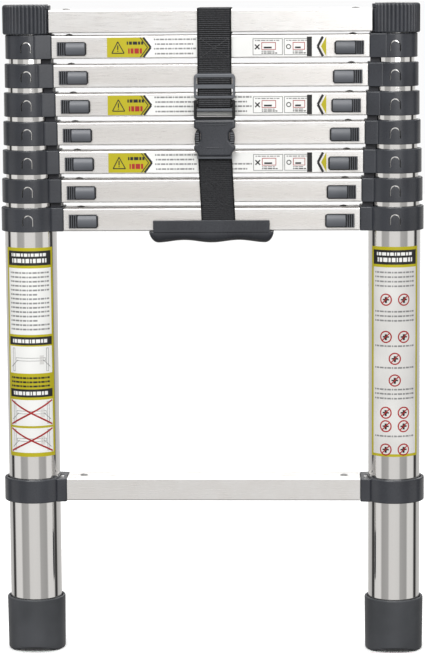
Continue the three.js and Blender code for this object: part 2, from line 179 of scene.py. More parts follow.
def studio_sky():
    world = bpy.data.worlds.new("studio_sky")
    world.use_nodes = True
    tree = world.node_tree
    backdrop = tree.nodes["Background"]
    backdrop.inputs["Color"].default_value = (BACKDROP, BACKDROP, BACKDROP * 1.005, 1)
    direction = add_node(tree, "ShaderNodeSeparateXYZ")
    tree.links.new(add_node(tree, "ShaderNodeTexCoord").outputs["Generated"], direction.inputs[0])
    x, y, z = direction.outputs
    height = calculate(tree, "MULTIPLY_ADD", z, 0.5, 0.5)
    turn = calculate(tree, "ABSOLUTE", calculate(tree, "ARCTAN2", x, calculate(tree, "MULTIPLY", y, -1)))
    half_turn = calculate(tree, "DIVIDE", turn, math.pi)
    bands = colour_ramp(tree, half_turn, greys(MIRROR_BANDS, (1, 0.985, 0.965)))
    panels = add_node(tree, "ShaderNodeMix", data_type="RGBA", blend_type="MULTIPLY")
    panels.inputs["Factor"].default_value = 1.0
    tree.links.new(bands, panels.inputs["A"])
    tree.links.new(colour_ramp(tree, height, greys(MIRROR_HEIGHTS)), panels.inputs["B"])
    mirrored = sky_light(tree, panels.outputs["Result"])
    soft = sky_light(tree, colour_ramp(tree, height, greys(SOFT_SKY)))
    sky = chosen(tree, "Is Camera Ray", soft, backdrop.outputs[0])
    sky = chosen(tree, "Is Glossy Ray", sky, mirrored)
    tree.links.new(sky, tree.nodes["World Output"].inputs["Surface"])
    return world


bpy.context.scene.world = studio_sky()
print(len(MIRROR_BANDS), "stops in the mirrored sky")

# %% Soft lights
KEY_PLACE, KEY_SIZE, KEY_WATTS = Vector((-0.7, -2.8, 2.5)), 1.8, 66
FILL_PLACE, FILL_SIZE, FILL_WATTS = Vector((1.0, -2.7, 1.3)), 1.6, 22
BACK_PLACE, BACK_SIZE, BACK_WATTS = Vector((0.3, 2.4, 2.2)), 2.2, 30
AIM = Vector((0, 0, 0.4))


def soft_light(name, place, size, watts):
    light = bpy.data.lights.new(name, "AREA")
    light.size = size
    light.energy = watts
    lamp = bpy.data.objects.new(name, light)
    lamp.location = place
    lamp.rotation_euler = (AIM - place).to_track_quat("-Z", "Y").to_euler()
    bpy.context.scene.collection.objects.link(lamp)
    return lamp


soft_light("key_light", KEY_PLACE, KEY_SIZE, KEY_WATTS)
soft_light("fill_light", FILL_PLACE, FILL_SIZE, FILL_WATTS)
soft_light("back_light", BACK_PLACE, BACK_SIZE, BACK_WATTS)

# %% [markdown]
# ## Finishes
#
# No real surface is one flat colour. Moulded plastic is slightly blotchy and grained,
# brushed metal has streaks that run one way, and edges that hands and shoes rub turn
# paler. Each finish here starts from the same recipe: a slow noise for colour, a fine
# noise for the roughness and the bump, and a paler colour on the sharp edges, which is
# partly wear and partly a painted highlight where the edges would catch the light. The
# noises can be stretched along one axis, which turns grain into brushing.

# %% The common recipe
def new_material(name):
    material = bpy.data.materials.new(name)
    material.use_nodes = True
    return material, material.node_tree, material.node_tree.nodes["Principled BSDF"]


def noise(tree, scale, stretch=(1, 1, 1), detail=3):
    mapping = add_node(tree, "ShaderNodeMapping")
    mapping.inputs["Scale"].default_value = stretch
    coordinates = add_node(tree, "ShaderNodeTexCoord")
    tree.links.new(coordinates.outputs["Object"], mapping.inputs["Vector"])
    texture = add_node(tree, "ShaderNodeTexNoise")
    texture.inputs["Scale"].default_value = scale
    texture.inputs["Detail"].default_value = detail
    tree.links.new(mapping.outputs["Vector"], texture.inputs["Vector"])
    return texture.outputs["Fac"]


def spread(tree, value, low, high):
    node = add_node(tree, "ShaderNodeMapRange")
    node.inputs["From Min"].default_value = 0.3
    node.inputs["From Max"].default_value = 0.7
    node.inputs["To Min"].default_value = low
    node.inputs["To Max"].default_value = high
    tree.links.new(value, node.inputs["Value"])
    return node.outputs["Result"]


WEAR_AND_HIGHLIGHT_RANGE = (0.56, 0.64)  # pointiness where the wear and painted edge highlight start, and where they are full


def edge_wear_and_highlight(tree, colour, worn_highlit):
    """Mixes a paler colour in where the surface turns sharply outwards: partly wear, partly a painted
    highlight on the edge.
    """
    sharpness = add_node(tree, "ShaderNodeNewGeometry").outputs["Pointiness"]
    reach = add_node(tree, "ShaderNodeMapRange")
    reach.inputs["From Min"].default_value = WEAR_AND_HIGHLIGHT_RANGE[0]
    reach.inputs["From Max"].default_value = WEAR_AND_HIGHLIGHT_RANGE[1]
    tree.links.new(sharpness, reach.inputs["Value"])
    patchy = calculate(tree, "MULTIPLY", reach.outputs["Result"], noise(tree, 60))
    mix = add_node(tree, "ShaderNodeMix", data_type="RGBA")
    tree.links.new(patchy, mix.inputs["Factor"])
    tree.links.new(colour, mix.inputs["A"])
    mix.inputs["B"].default_value = (*worn_highlit, 1)
    return mix.outputs["Result"]


def surface(name, dark, light, roughness, grain, bump, stretch=(1, 1, 1), metallic=0.0,
            worn_highlit=None, shine=0.5):
    """A finish from two near colours, a roughness range, and grain size and bump height in mm."""
    material, tree, shader = new_material(name)
    blotch = noise(tree, 22, stretch, detail=2)
    colour = colour_ramp(tree, blotch, [(0.35, dark), (0.65, light)])
    # The paler edge colour is partly wear and partly a painted highlight.
    if worn_highlit:
        colour = edge_wear_and_highlight(tree, colour, worn_highlit)
    tree.links.new(colour, shader.inputs["Base Color"])
    fine = noise(tree, 1 / (grain * MM), stretch)
    tree.links.new(spread(tree, fine, *roughness), shader.inputs["Roughness"])
    relief = add_node(tree, "ShaderNodeBump")
    relief.inputs["Strength"].default_value = 1.0
    relief.inputs["Distance"].default_value = bump * MM
    tree.links.new(fine, relief.inputs["Height"])
    tree.links.new(relief.outputs["Normal"], shader.inputs["Normal"])
    shader.inputs["Metallic"].default_value = metallic
    shader.inputs["Specular IOR Level"].default_value = shine
    return material


# %% Metals
ALONG_Z = (1, 1, 0.02)
ALONG_X = (0.015, 1, 1)
mirror_steel = surface(
    "mirror_steel", (0.78, 0.775, 0.765), (0.82, 0.81, 0.80),
    roughness=(0.045, 0.10), grain=0.9, bump=0.0006, stretch=ALONG_Z, metallic=1.0,
)
brushed_aluminium = surface(
    "brushed_aluminium", (0.79, 0.765, 0.74), (0.84, 0.815, 0.79),
    roughness=(0.25, 0.36), grain=0.5, bump=0.004, stretch=ALONG_X, metallic=0.85,
    worn_highlit=(0.92, 0.92, 0.92),
)
plain_steel = surface(
    "plain_steel", (0.55, 0.55, 0.55), (0.66, 0.66, 0.66),
    roughness=(0.22, 0.38), grain=0.6, bump=0.004, metallic=1.0,
)
rivet_steel = surface(
    "rivet_steel", (0.16, 0.16, 0.16), (0.26, 0.26, 0.26),
    roughness=(0.25, 0.40), grain=0.5, bump=0.006, metallic=1.0,
)
print("metal finishes:", mirror_steel.name, brushed_aluminium.name, plain_steel.name)

# %% Plastics and rubber
collar_plastic = surface(
    "collar_plastic", (0.026, 0.028, 0.034), (0.038, 0.041, 0.049),
    roughness=(0.22, 0.34), grain=0.45, bump=0.008, worn_highlit=(0.13, 0.135, 0.145), shine=0.55,
)
pad_plastic = surface(
    "pad_plastic", (0.090, 0.096, 0.108), (0.120, 0.127, 0.142),
    roughness=(0.30, 0.42), grain=0.4, bump=0.008, worn_highlit=(0.20, 0.205, 0.215),
)
frame_plastic = surface(
    "frame_plastic", (0.009, 0.009, 0.010), (0.015, 0.015, 0.018),
    roughness=(0.32, 0.46), grain=0.4, bump=0.008, worn_highlit=(0.05, 0.05, 0.06), shine=0.3,
)
foot_rubber = surface(
    "foot_rubber", (0.040, 0.043, 0.048), (0.056, 0.059, 0.066),
    roughness=(0.40, 0.56), grain=0.6, bump=0.020, worn_highlit=(0.11, 0.11, 0.11),
)
nylon_plug = surface(
    "nylon_plug", (0.55, 0.54, 0.50), (0.66, 0.65, 0.60),
    roughness=(0.40, 0.55), grain=0.5, bump=0.01,
)


# %% [markdown]
# Webbing is woven from thick yarns that run across in fine ribs, and light catches
# the crest of each rib. The ribs are real geometry on the strap, further down, and
# each point of the strap stores how high it stands on its rib. The material reads
# that height to paint the crests paler, a painted highlight, and the valleys near
# black, a painted shade, and adds the twist of the single yarns.

# %% Webbing and floor
YARN_TWIST = 0.8  # mm between the twists of a yarn


def woven(name, valley, lit_crest):
    material, tree, shader = new_material(name)
    rib = add_node(tree, "ShaderNodeAttribute", attribute_name="rib").outputs["Fac"]
    twist = noise(tree, 1 / (YARN_TWIST * MM), (1, 1, 3))
    frayed_highlight = calculate(tree, "MULTIPLY", rib, spread(tree, twist, 0.45, 1.25))
    # Paler crests are a painted highlight and the near-black valleys a painted shade.
    tree.links.new(
        colour_ramp(tree, frayed_highlight, [(0.5, valley), (0.95, lit_crest)]), shader.inputs["Base Color"]
    )
    tree.links.new(spread(tree, noise(tree, 900), 0.55, 0.8), shader.inputs["Roughness"])
    relief = add_node(tree, "ShaderNodeBump")
    relief.inputs["Distance"].default_value = 0.08 * MM
    tree.links.new(twist, relief.inputs["Height"])
    tree.links.new(relief.outputs["Normal"], shader.inputs["Normal"])
    shader.inputs["Specular IOR Level"].default_value = 0.2
    return material


# Near-black valley colour as painted shade, paler crest colour as painted highlight.
webbing = woven("webbing", (0.004, 0.004, 0.005), (0.075, 0.077, 0.083))
stitching = surface(
    "stitching", (0.030, 0.030, 0.032), (0.050, 0.050, 0.054),
    roughness=(0.6, 0.8), grain=0.3, bump=0.01,
)
floor_paint = surface(
    "floor_paint", (0.90, 0.90, 0.90), (0.92, 0.92, 0.92),
    roughness=(0.75, 0.85), grain=3, bump=0.01,
)

# %% [markdown]
# Printed film is smooth and a little shiny. The printed colours are all on the same
# film, so they share one recipe and differ only in ink.

# %% Printed film
INKS = {
    "yellow": ((0.42, 0.365, 0.004), (0.47, 0.41, 0.006)),
    "black": ((0.006, 0.006, 0.007), (0.012, 0.012, 0.013)),
    "white": ((0.78, 0.78, 0.76), (0.84, 0.84, 0.82)),
    "silver": ((0.62, 0.61, 0.59), (0.70, 0.69, 0.67)),
    "grey": ((0.20, 0.20, 0.20), (0.26, 0.26, 0.26)),
    "red": ((0.32, 0.010, 0.010), (0.38, 0.016, 0.016)),
}
inks = {
    ink: surface(f"ink_{ink}", dark, light, roughness=(0.28, 0.40), grain=0.8, bump=0.003)
    for ink, (dark, light) in INKS.items()
}
print("inks:", ", ".join(inks))

# %% [markdown]
# ## Tools for making shapes
#
# Nearly every piece here is a moulding, a tube or a pressed bar, so a few tools make
# them all. Each tool returns a shape, which is a list of points in millimetres and a
# list of faces. `loft` joins loops of points, `slab` pulls an outline up with rounded
# edges, and `turned` spins a profile. `make_piece` then turns shapes into an object
# and says which body it moves with. Writing the mesh directly keeps every edge radius
# under control, which a box with a modifier would not.

# %% Lofts, slabs and turned shapes
def loft(loops, ring=False):
    """Joins loops of equally many points. A ring closes on itself, else both ends are capped."""
    count = len(loops[0])
    points = [point for loop in loops for point in loop]
    pairs = [(i, i + 1) for i in range(len(loops) - 1)]
    if ring:
        pairs.append((len(loops) - 1, 0))
    faces = [
        (a * count + i, a * count + (i + 1) % count, b * count + (i + 1) % count, b * count + i)
        for a, b in pairs
        for i in range(count)
    ]
    if not ring:
        last = (len(loops) - 1) * count
        faces.append(tuple(reversed(range(count))))
        faces.append(tuple(range(last, last + count)))
    return points, faces


def inset(outline, distance):
    """The outline moved inwards by a distance; its points run anticlockwise."""
    if distance == 0:
        return list(outline)
    moved = []
    count = len(outline)
    for i, point in enumerate(outline):
        before = (Vector(point) - Vector(outline[i - 1])).normalized()
        after = (Vector(outline[(i + 1) % count]) - Vector(point)).normalized()
        along = before + after
        along = along.normalized() if along.length > 1e-6 else after
        lean = max(along.dot(after), 0.5)
        moved.append((point[0] - along.y * distance / lean, point[1] + along.x * distance / lean))
    return moved


def rounding(edge, steps=3):
    """Pairs of (inset, rise) round a quarter circle, from the flat face to the side."""
    angles = [math.pi / 2 * i / steps for i in range(steps + 1)]
    return [(edge * (1 - math.sin(a)), edge * (1 - math.cos(a))) for a in angles]


def upright(u, v, w):
    return (u, v, w)


def frontal(u, v, w):
    """An outline in the XZ plane, pulled along Y."""
    return (u, w, v)


def slab(outline, low, high, edge=0.6, place=upright, steps=3):
    """An outline pulled from low to high, with its edges rounded."""
    levels = [(side, low + rise) for side, rise in rounding(edge, steps)]
    levels += [(side, high - rise) for side, rise in reversed(rounding(edge, steps))]
    return loft([[place(u, v, w) for u, v in inset(outline, side)] for side, w in levels])


def arc(centre, radius, start, end, steps):
    """Points on an arc, with its angles in degrees."""
    turn = [math.radians(start + (end - start) * i / steps) for i in range(steps + 1)]
    return [(centre[0] + radius * math.cos(a), centre[1] + radius * math.sin(a)) for a in turn]


CORNER_STEPS = 4


def rounded_rectangle(u0, u1, v0, v1, radius):
    corners = [(u1 - radius, v0 + radius, -90), (u1 - radius, v1 - radius, 0),
               (u0 + radius, v1 - radius, 90), (u0 + radius, v0 + radius, 180)]
    return [
        p for u, v, start in corners for p in arc((u, v), radius, start, start + 90, CORNER_STEPS)
    ]


def turned(profile, x=0.0, y=0.0, sides=96, place=upright, ring=True):
    """A profile of (radius, height) points spun about an axis that stands at x, y."""
    turns = [2 * math.pi * i / sides for i in range(sides)]
    return loft(
        [[place(x + r * math.cos(t), y + r * math.sin(t), h) for t in turns] for r, h in profile],
        ring,
    )


# %% Making a piece out of shapes
made = []


def mesh_of(name, shapes, materials, sharp_angle):
    """One mesh out of several shapes; each shape may come with the index of its material."""
    points, faces, picks = [], [], []
    for shape in shapes:
        shape_points, shape_faces, *pick = shape
        start = len(points)
        points += [Vector(p) * MM for p in shape_points]
        faces += [tuple(start + i for i in face) for face in shape_faces]
        picks += [pick[0] if pick else 0] * len(shape_faces)
    mesh = bpy.data.meshes.new(name)
    mesh.from_pydata(points, [], faces)
    mesh.polygons.foreach_set("material_index", picks)
    for material in materials:
        mesh.materials.append(material)
    tidy = bmesh.new()
    tidy.from_mesh(mesh)
    bmesh.ops.recalc_face_normals(tidy, faces=tidy.faces)
    tidy.to_mesh(mesh)
    tidy.free()
    mesh.shade_smooth()
    mesh.set_sharp_from_angle(angle=math.radians(sharp_angle))
    return mesh


def link_object(name, mesh):
    piece = bpy.data.objects.new(name, mesh)
    bpy.context.scene.collection.objects.link(piece)
    return piece


def make_piece(name, shapes, materials, body, stands_for=(), sharp_angle=50, even=True):
    if not isinstance(materials, list):
        materials = [materials]
    piece = link_object(name, mesh_of(name, shapes, materials, sharp_angle))
    if even:
        weighted = piece.modifiers.new("even_shading", "WEIGHTED_NORMAL")
        weighted.keep_sharp = True
    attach(piece, body)
    if stands_for:
        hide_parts(*stands_for)
    made.append(piece)
    return piece


def carve(piece, cutters, sharp_angle=50):
    """Cuts shapes out of a piece, for good."""
    tool = link_object("cutter", mesh_of("cutter", cutters, [], sharp_angle))
    cut = piece.modifiers.new("carve", "BOOLEAN")
    cut.object = tool
    cut.solver = "EXACT"
    while piece.modifiers.find("carve") > 0:
        piece.modifiers.move(piece.modifiers.find("carve"), 0)
    evened = piece.modifiers.get("even_shading")
    if evened:
        evened.show_viewport = False
    depsgraph = bpy.context.evaluated_depsgraph_get()
    depsgraph.update()
    mesh = bpy.data.meshes.new_from_object(piece.evaluated_get(depsgraph))
    piece.modifiers.remove(cut)
    if evened:
        evened.show_viewport = True
    piece.data = mesh
    mesh.shade_smooth()
    mesh.set_sharp_from_angle(angle=math.radians(sharp_angle))
    bpy.data.objects.remove(tool)


def body_of_section(k):
    """The body that tube k, rung k + 1 and its collars move with."""
    return {1: "base_section", TUBE_COUNT: "top_section"}.get(k, f"section_{k}")


floor = link_object("floor", mesh_of("floor", [], [floor_paint], 50))
floor_sheet = [(x * FLOOR_HALF, y * FLOOR_HALF, 0) for x, y in ((-1, -1), (1, -1), (1, 1), (-1, 1))]
floor.data.from_pydata(floor_sheet, [], [(0, 1, 2, 3)])
floor.visible_glossy = False
floor.visible_diffuse = False

# %% [markdown]
# ## Measures taken from the working model
#
# The collars grow towards the bottom of the stack, because each holds a thicker tube.
# Their radii and the ends of their rung sockets are read from the model's own boxes,
# so that this file stays right if the ladder is ever resized.

# %% Measures
GAP = 0.3  # clearance that the working model keeps between pieces
TUBE_WALL = 0.8


def tube_radius(k):
    low, high = box_mm(f"tube_{k}_left")
    return (high.x - low.x) / 2


def tube_span(k):
    low, high = box_mm(f"tube_{k}_left")
    return low.z, high.z


def rung_span(k):
    """Underside and top of rung k, without the collars or caps it may carry."""
    low, high = box_mm(f"rung_{k}")
    if k == 1:
        return low.z + FIXED_DROP, low.z + FIXED_DROP + RUNG_HEIGHT
    if k == TUBE_COUNT + 1:
        return high.z - CAP_OVER_RUNG - RUNG_HEIGHT, high.z - CAP_OVER_RUNG
    return low.z, high.z


sample_low, sample_high = box_mm("rung_2")
RUNG_HEIGHT = sample_high.z - sample_low.z
RUNG_DEPTH = sample_high.y - sample_low.y
FIXED_DROP = 1.1  # how far the lowest collars reach below their rung
CAP_OVER_RUNG = 5.9  # top of the caps above the top rung
COLLAR_HEIGHT = 26.2
COLLAR_SEAT = 20.0
BOX_DEPTH = 42.0


def socket_end(k):
    """Stile axis to the end of the rung socket of rung k."""
    return STILE_X - box_mm(f"rung_{k}")[1].x - GAP


def travel():
    return max(joint["range_m"][1] for joint in frame["joints"]) / MM


print("rung", round(RUNG_HEIGHT, 1), "high and", round(RUNG_DEPTH, 1), "deep")
print("sections slide", round(travel(), 1), "mm")

# %% [markdown]
# ## Stile tubes
#
# Each stile is a nest of eight thin tubes of rolled and polished stainless steel. A
# cylinder would do for the outside, but the mouths show when the ladder is pulled
# out, so each tube gets its real wall, rounded lips and the holes that the lock pins
# drop into. The holes are cut between two rows of close points, which keeps the
# long mirror surface smooth.

# %% Tubes
PIN_HOLE_R = 4.3
LATCH_BELOW_MIDDLE = 1.6
HOLE_BAND = 8.0


def latch_height(k):
    low, high = rung_span(k)
    return (low + high) / 2 - LATCH_BELOW_MIDDLE


def pin_holes(k):
    holes = []
    if k < TUBE_COUNT:
        holes.append(latch_height(k + 1))
    if k > 1:
        holes.append(latch_height(k) - travel())
    return sorted(holes)


def make_tube(k, side):
    outer = tube_radius(k)
    inner = outer - TUBE_WALL
    low, high = tube_span(k)
    lip = TUBE_WALL / 3
    rows = [low + lip]
    for hole in pin_holes(k):
        rows += [hole - HOLE_BAND, hole + HOLE_BAND]
    rows = [z for z in rows if z < high - lip] + [high - lip]
    profile = [(outer, z) for z in rows] + [(outer - lip, high), (inner + lip, high)]
    profile += [(inner, z) for z in reversed(rows)] + [(inner + lip, low), (outer - lip, low)]
    x = -STILE_X * SIDES[side]
    tube = make_piece(
        f"steel_tube_{k}_{side}", [turned(profile, x)], mirror_steel, body_of_section(k),
        [f"tube_{k}_{side}"], sharp_angle=30, even=False,
    )
    inward = SIDES[side]
    drills = [
        turned([(PIN_HOLE_R, 0), (PIN_HOLE_R, outer + 2)], 0, z, 32,
               lambda u, v, w: (x + inward * w, u, v), ring=False)
        for z in pin_holes(k)
    ]
    carve(tube, drills, 30)
    return tube


for k in range(1, TUBE_COUNT + 1):
    for side in SIDES:
        make_tube(k, side)
print("tubes from", round(tube_radius(1), 1), "to", round(tube_radius(TUBE_COUNT), 1), "mm radius")

# %% [markdown]
# A nylon plug closes the bottom of every sliding tube. It keeps the tube centred in
# the next one and its flange stops the tube from being pulled right out.

# %% Guide plugs
PLUG_HEIGHT = 16.0
PLUG_FLANGE = 3.0

for k in range(2, TUBE_COUNT + 1):
    bore = tube_radius(k) - TUBE_WALL
    bottom = tube_span(k)[0]
    profile = [
        (2.0, bottom - PLUG_FLANGE), (bore + TUBE_WALL, bottom - PLUG_FLANGE),
        (bore + TUBE_WALL, bottom - GAP / 2), (bore - GAP / 2, bottom - GAP / 2),
        (bore - GAP / 2, bottom + PLUG_HEIGHT - 1), (bore - 1, bottom + PLUG_HEIGHT),
        (bore - 3, bottom + PLUG_HEIGHT), (bore - 3, bottom), (2.0, bottom),
    ]
    for side in SIDES:
        make_piece(
            f"guide_plug_{k}_{side}", [turned(profile, -STILE_X * SIDES[side], sides=48)],
            nylon_plug, body_of_section(k),
        )

# %% [markdown]
# ## Collars
#
# A collar is one moulding: a ring that grips the tube, run out into a box that holds
# the rung. Seen from above, the box leaves the ring with a small step, which shows as
# an upright line. The outline is drawn once with that step, then lofted up with
# rounded lips. A joined cylinder and box would have sharp edges everywhere. On the
# front, an arched slot frees a springy tongue that snaps onto the tube, and the
# bright tube shows through the slot, so the slot is cut right through.

# %% Collar outline
SEAM_STEP = 1.1  # how far the box stands out where it leaves the ring
SEAM = [(2.4, 0.95), (1.2, 0.9), (0.6, 0.6), (0.3, 0.1)]
BOX_CORNER_R = 1.6
RING_STEPS = 72


def collar_outline(ring_r, end, inward, shoulder=BOX_DEPTH / 2):
    """Half of the outline, from the box end round to the back of the ring, and its mirror."""
    half_depth = BOX_DEPTH / 2
    seam = math.sqrt(ring_r**2 - shoulder**2)
    lean = math.degrees(math.atan2(shoulder, seam))
    half = [(end, 0.0), (end, half_depth / 2)]
    half += arc((end - BOX_CORNER_R, half_depth - BOX_CORNER_R), BOX_CORNER_R, 0, 90, 4)
    half += [(seam + SEAM_STEP * u, shoulder + SEAM_STEP * v) for u, v in SEAM]
    half += arc((0, 0), ring_r, lean, 180, RING_STEPS // 2)
    mirrored = [(u, -v) for u, v in reversed(half[1:-1])]
    outline = half + mirrored
    if inward < 0:
        outline = [(-u, v) for u, v in reversed(outline)]
    return outline


def at_radius(outline, radius, x, z):
    """A round loop with one point in the direction of each point of the outline."""
    turns = [math.atan2(v, u) for u, v in outline]
    return [(x + radius * math.cos(t), radius * math.sin(t), z) for t in turns]


def collar_body(outline, x, low, high, bore, lip=1.3):
    """The outline lofted up with rounded lips, with a bore given as (radius, z) from top to bottom."""
    foot = lip * 0.6
    levels = [(side, low + rise) for side, rise in rounding(foot)]
    levels += [(side, high - rise) for side, rise in reversed(rounding(lip))]
    loops = [[(x + u, v, z) for u, v in inset(outline, side)] for side, z in levels]
    loops += [at_radius(outline, radius, x, z) for radius, z in bore]
    return loft(loops, ring=True)


print("collar outline has", len(collar_outline(tube_radius(1) + 3.5, 38, 1)), "points")

# %% Sliding collars
RUNG_WALL = 1.6  # the spigot fits inside it
WIPER_CLEARANCE = 0.4
SPIGOT_LENGTH = 12.0
STOP_HALF = 15.0
STOP_SETBACK = 3.0
SHOULDER_STEP = 0.4  # the thinner collars leave the ring nearer to its front
ARCH_HALF = 5.4
ARCH_SLOT = 1.3
ARCH_TOP = 18.6  # above the collar's underside
ARCH_FOOT = 6.6


def arch_slot(x, ring_r, low):
    """An arch-shaped strip, deep enough to pass through the front wall of the ring."""
    wide, narrow = ARCH_HALF + ARCH_SLOT / 2, ARCH_HALF - ARCH_SLOT / 2
    spring = low + ARCH_TOP - wide
    foot = low + ARCH_FOOT
    outside = [(wide, foot)] + arc((0, spring), wide, 0, 180, 16) + [(-wide, foot)]
    inside = [(-narrow, foot)] + arc((0, spring), narrow, 180, 0, 16) + [(narrow, foot)]
    ribbon = [(x + u, v) for u, v in outside + inside]
    return loft([[(u, y, v) for u, v in ribbon] for y in (-ring_r - 2, -ring_r + 6)])


def spigot(x, inward, end, low):
    """The hollow tongue of the collar that the rung end is pushed over."""
    half = RUNG_DEPTH / 2 - RUNG_WALL - GAP
    base, top = low + RUNG_WALL + GAP, low + RUNG_HEIGHT - RUNG_WALL - GAP
    outside = rounded_rectangle(-half, half, base, top, 2)
    inside = rounded_rectangle(-half + 2, half - 2, base + 2, top - 2, 1)
    stations = sorted((x + inward * (end - 1), x + inward * (end + SPIGOT_LENGTH)))
    loops = [[(w, u, v) for u, v in outside] for w in stations]
    loops += [[(w, u, v) for u, v in inside] for w in reversed(stations)]
    return loft(loops, ring=True)


def stop_pad(x, inward, k, top):
    """The block on the socket that the next collar rests on when the ladder is closed."""
    hug = tube_radius(k) + 2 * WIPER_CLEARANCE
    lean = math.degrees(math.asin(STOP_HALF / hug))
    back = socket_end(k) - STOP_SETBACK
    outline = arc((0, 0), hug, -lean, lean, 10)[::-1]
    outline = [(back, -STOP_HALF), (back, STOP_HALF)] + outline
    if inward < 0:
        outline = [(-u, v) for u, v in reversed(outline)]
    rest = box_mm(f"collar_{k}_left")[1].z
    return slab([(x + u, v) for u, v in outline], top - 1, rest, 0.5)


def make_collar(k, side):
    inward, x = SIDES[side], -STILE_X * SIDES[side]
    low = box_mm(f"collar_{k}_{side}")[0].z
    top = low + COLLAR_HEIGHT
    ring_r = abs(box_mm(f"collar_{k}_left")[0].x) - STILE_X
    grip, slide = tube_radius(k - 1) + GAP, tube_radius(k) + WIPER_CLEARANCE
    end = socket_end(k)
    bore = [(slide + 0.8, top), (slide, top - 0.8), (slide, low + COLLAR_SEAT),
            (grip, low + COLLAR_SEAT), (grip, low + 0.5), (grip + 0.5, low)]
    shoulder = BOX_DEPTH / 2 + SHOULDER_STEP * (k - 2)
    shell = collar_body(collar_outline(ring_r, end, inward, shoulder), x, low, top, bore)
    collar = make_piece(
        f"collar_shell_{k}_{side}", [shell], collar_plastic, body_of_section(k - 1),
        [f"collar_{k}_{side}"],
    )
    z = latch_height(k)
    bore_hole = turned([(PIN_HOLE_R, 0), (PIN_HOLE_R, end + 2)], 0, z, 32,
                       lambda u, v, w: (x + inward * w, u, v), ring=False)
    carve(collar, [arch_slot(x, ring_r, low), bore_hole])
    extras = [spigot(x, inward, end, low + 0.1)]
    if k < TUBE_COUNT:
        extras.append(stop_pad(x, inward, k, top))
    make_piece(
        f"collar_insert_{k}_{side}", extras, frame_plastic, body_of_section(k - 1)
    )
    return collar


for k in range(2, TUBE_COUNT + 1):
    for side in SIDES:
        make_collar(k, side)
print("sliding collars done,", len(made), "pieces so far")

# %% [markdown]
# The two collars of the lowest rung don't slide. They are clamped part-way up the
# outer tubes, so their bore is plain, and a small screw in the top holds each one.

# %% Fixed collars
FIXED_RING_R = 33.4
FIXED_SOCKET_END = 37.4
SCREW_R = 2.6


def screw_head(x, y, z):
    profile = [(0.9, z - 1), (SCREW_R, z - 1), (SCREW_R, z + 0.4), (SCREW_R * 0.7, z + 1.0),
               (0.9, z + 1.1), (0.9, z + 0.3)]
    return turned(profile, x, y, 24)


for side, inward in SIDES.items():
    x = -STILE_X * inward
    low = box_mm("rung_1")[0].z
    top = low + COLLAR_HEIGHT
    grip = tube_radius(1) + GAP
    bore = [(grip + 1.6, top), (grip, top - 1.6), (grip, low + 0.6), (grip + 0.6, low)]
    outline = collar_outline(FIXED_RING_R, FIXED_SOCKET_END, inward)
    shapes = [collar_body(outline, x, low, top, bore, lip=1.8)]
    shapes.append(spigot(x, inward, FIXED_SOCKET_END, low + FIXED_DROP))
    make_piece(f"fixed_collar_{side}", shapes, collar_plastic, "base_section")
    make_piece(
        f"collar_screw_{side}", [screw_head(x + inward * (FIXED_SOCKET_END - 6), -9, top)],
        plain_steel, "base_section",
    )

# %% [markdown]
# ## Caps
#
# A ribbed cap closes each stile, so that a hand can grip and turn the top of the
# ladder. The ribs run all the way up and end in a scalloped rim. A plain cylinder
# with a bump would show a smooth edge, so the ribs are in the outline itself: the
# radius swells and sinks 36 times in one turn, and fades to smooth at the top.

# %% Caps
CAP_R = 27.6
CAP_RIBS = 36
RIB_DEPTH = 1.5
RIB_STEPS = 10
CAP_SHOULDER = 2.2
CAP_HEIGHT = 32.3
CAP_FLAT = 21.0  # above the rung, the cap's inner side is cut flat here
TONGUE_REACH = 24.4
TONGUE_HALF = 12.0


def ribbed_loop(x, z, radius, share):
    """A loop of rounded ribs with narrow valleys; share 0 gives a plain circle."""
    count = CAP_RIBS * RIB_STEPS
    loop = []
    for i in range(count):
        t = 2 * math.pi * i / count
        valley = 1 - abs(math.sin(CAP_RIBS * t / 2)) ** 0.8
        r = radius - RIB_DEPTH * share * valley
        loop.append((x + r * math.cos(t), r * math.sin(t), z))
    return loop


def make_cap(side):
    x = -STILE_X * SIDES[side]
    top = box_mm(f"rung_{TUBE_COUNT + 1}")[1].z
    low = top - CAP_HEIGHT
    bore = tube_radius(TUBE_COUNT) + GAP
    rows = [(low, CAP_R - 1.6, 0), (low + 0.5, CAP_R - 0.7, 0.4), (low + 1.8, CAP_R, 1)]
    rows += [(top - 3.2, CAP_R, 1), (top - 1.8, CAP_R - 0.4, 1), (top - 0.8, CAP_R - 1.2, 0.8)]
    rows += [(top - 0.25, CAP_R - CAP_SHOULDER, 0.3), (top, CAP_R - 1.5 * CAP_SHOULDER, 0)]
    loops = [ribbed_loop(x, z, radius, share) for z, radius, share in rows]
    loops += [ribbed_loop(x, top, 2.0, 0), ribbed_loop(x, top - 4, 2.0, 0)]
    loops += [ribbed_loop(x, top - 4, bore, 0), ribbed_loop(x, low, bore, 0)]
    inward = SIDES[side]
    tongue = rounded_rectangle(
        *sorted((x + inward * 18, x + inward * TONGUE_REACH)), -TONGUE_HALF, TONGUE_HALF, 3
    )
    profile = [(0.5, top - 2), (5.0, top - 2), (5.0, top - 0.6), (4.4, top - 0.1), (0.5, top)]
    button = turned(profile, x, 0, 48)
    cap = make_piece(f"ribbed_cap_{side}", [loft(loops, ring=True)], collar_plastic, "top_section")
    flat = rounded_rectangle(
        *sorted((x + inward * CAP_FLAT, x + inward * (CAP_R + 2))), -CAP_R - 2, CAP_R + 2, 0.5
    )
    carve(cap, [slab(flat, top - CAP_OVER_RUNG, top + 2, 0.1)])
    lug = slab(tongue, top - CAP_OVER_RUNG + GAP, top - 1, 0.8)
    make_piece(f"cap_lug_{side}", [lug, button], collar_plastic, "top_section")


for side in SIDES:
    make_cap(side)
print("each cap has", CAP_RIBS, "ribs")

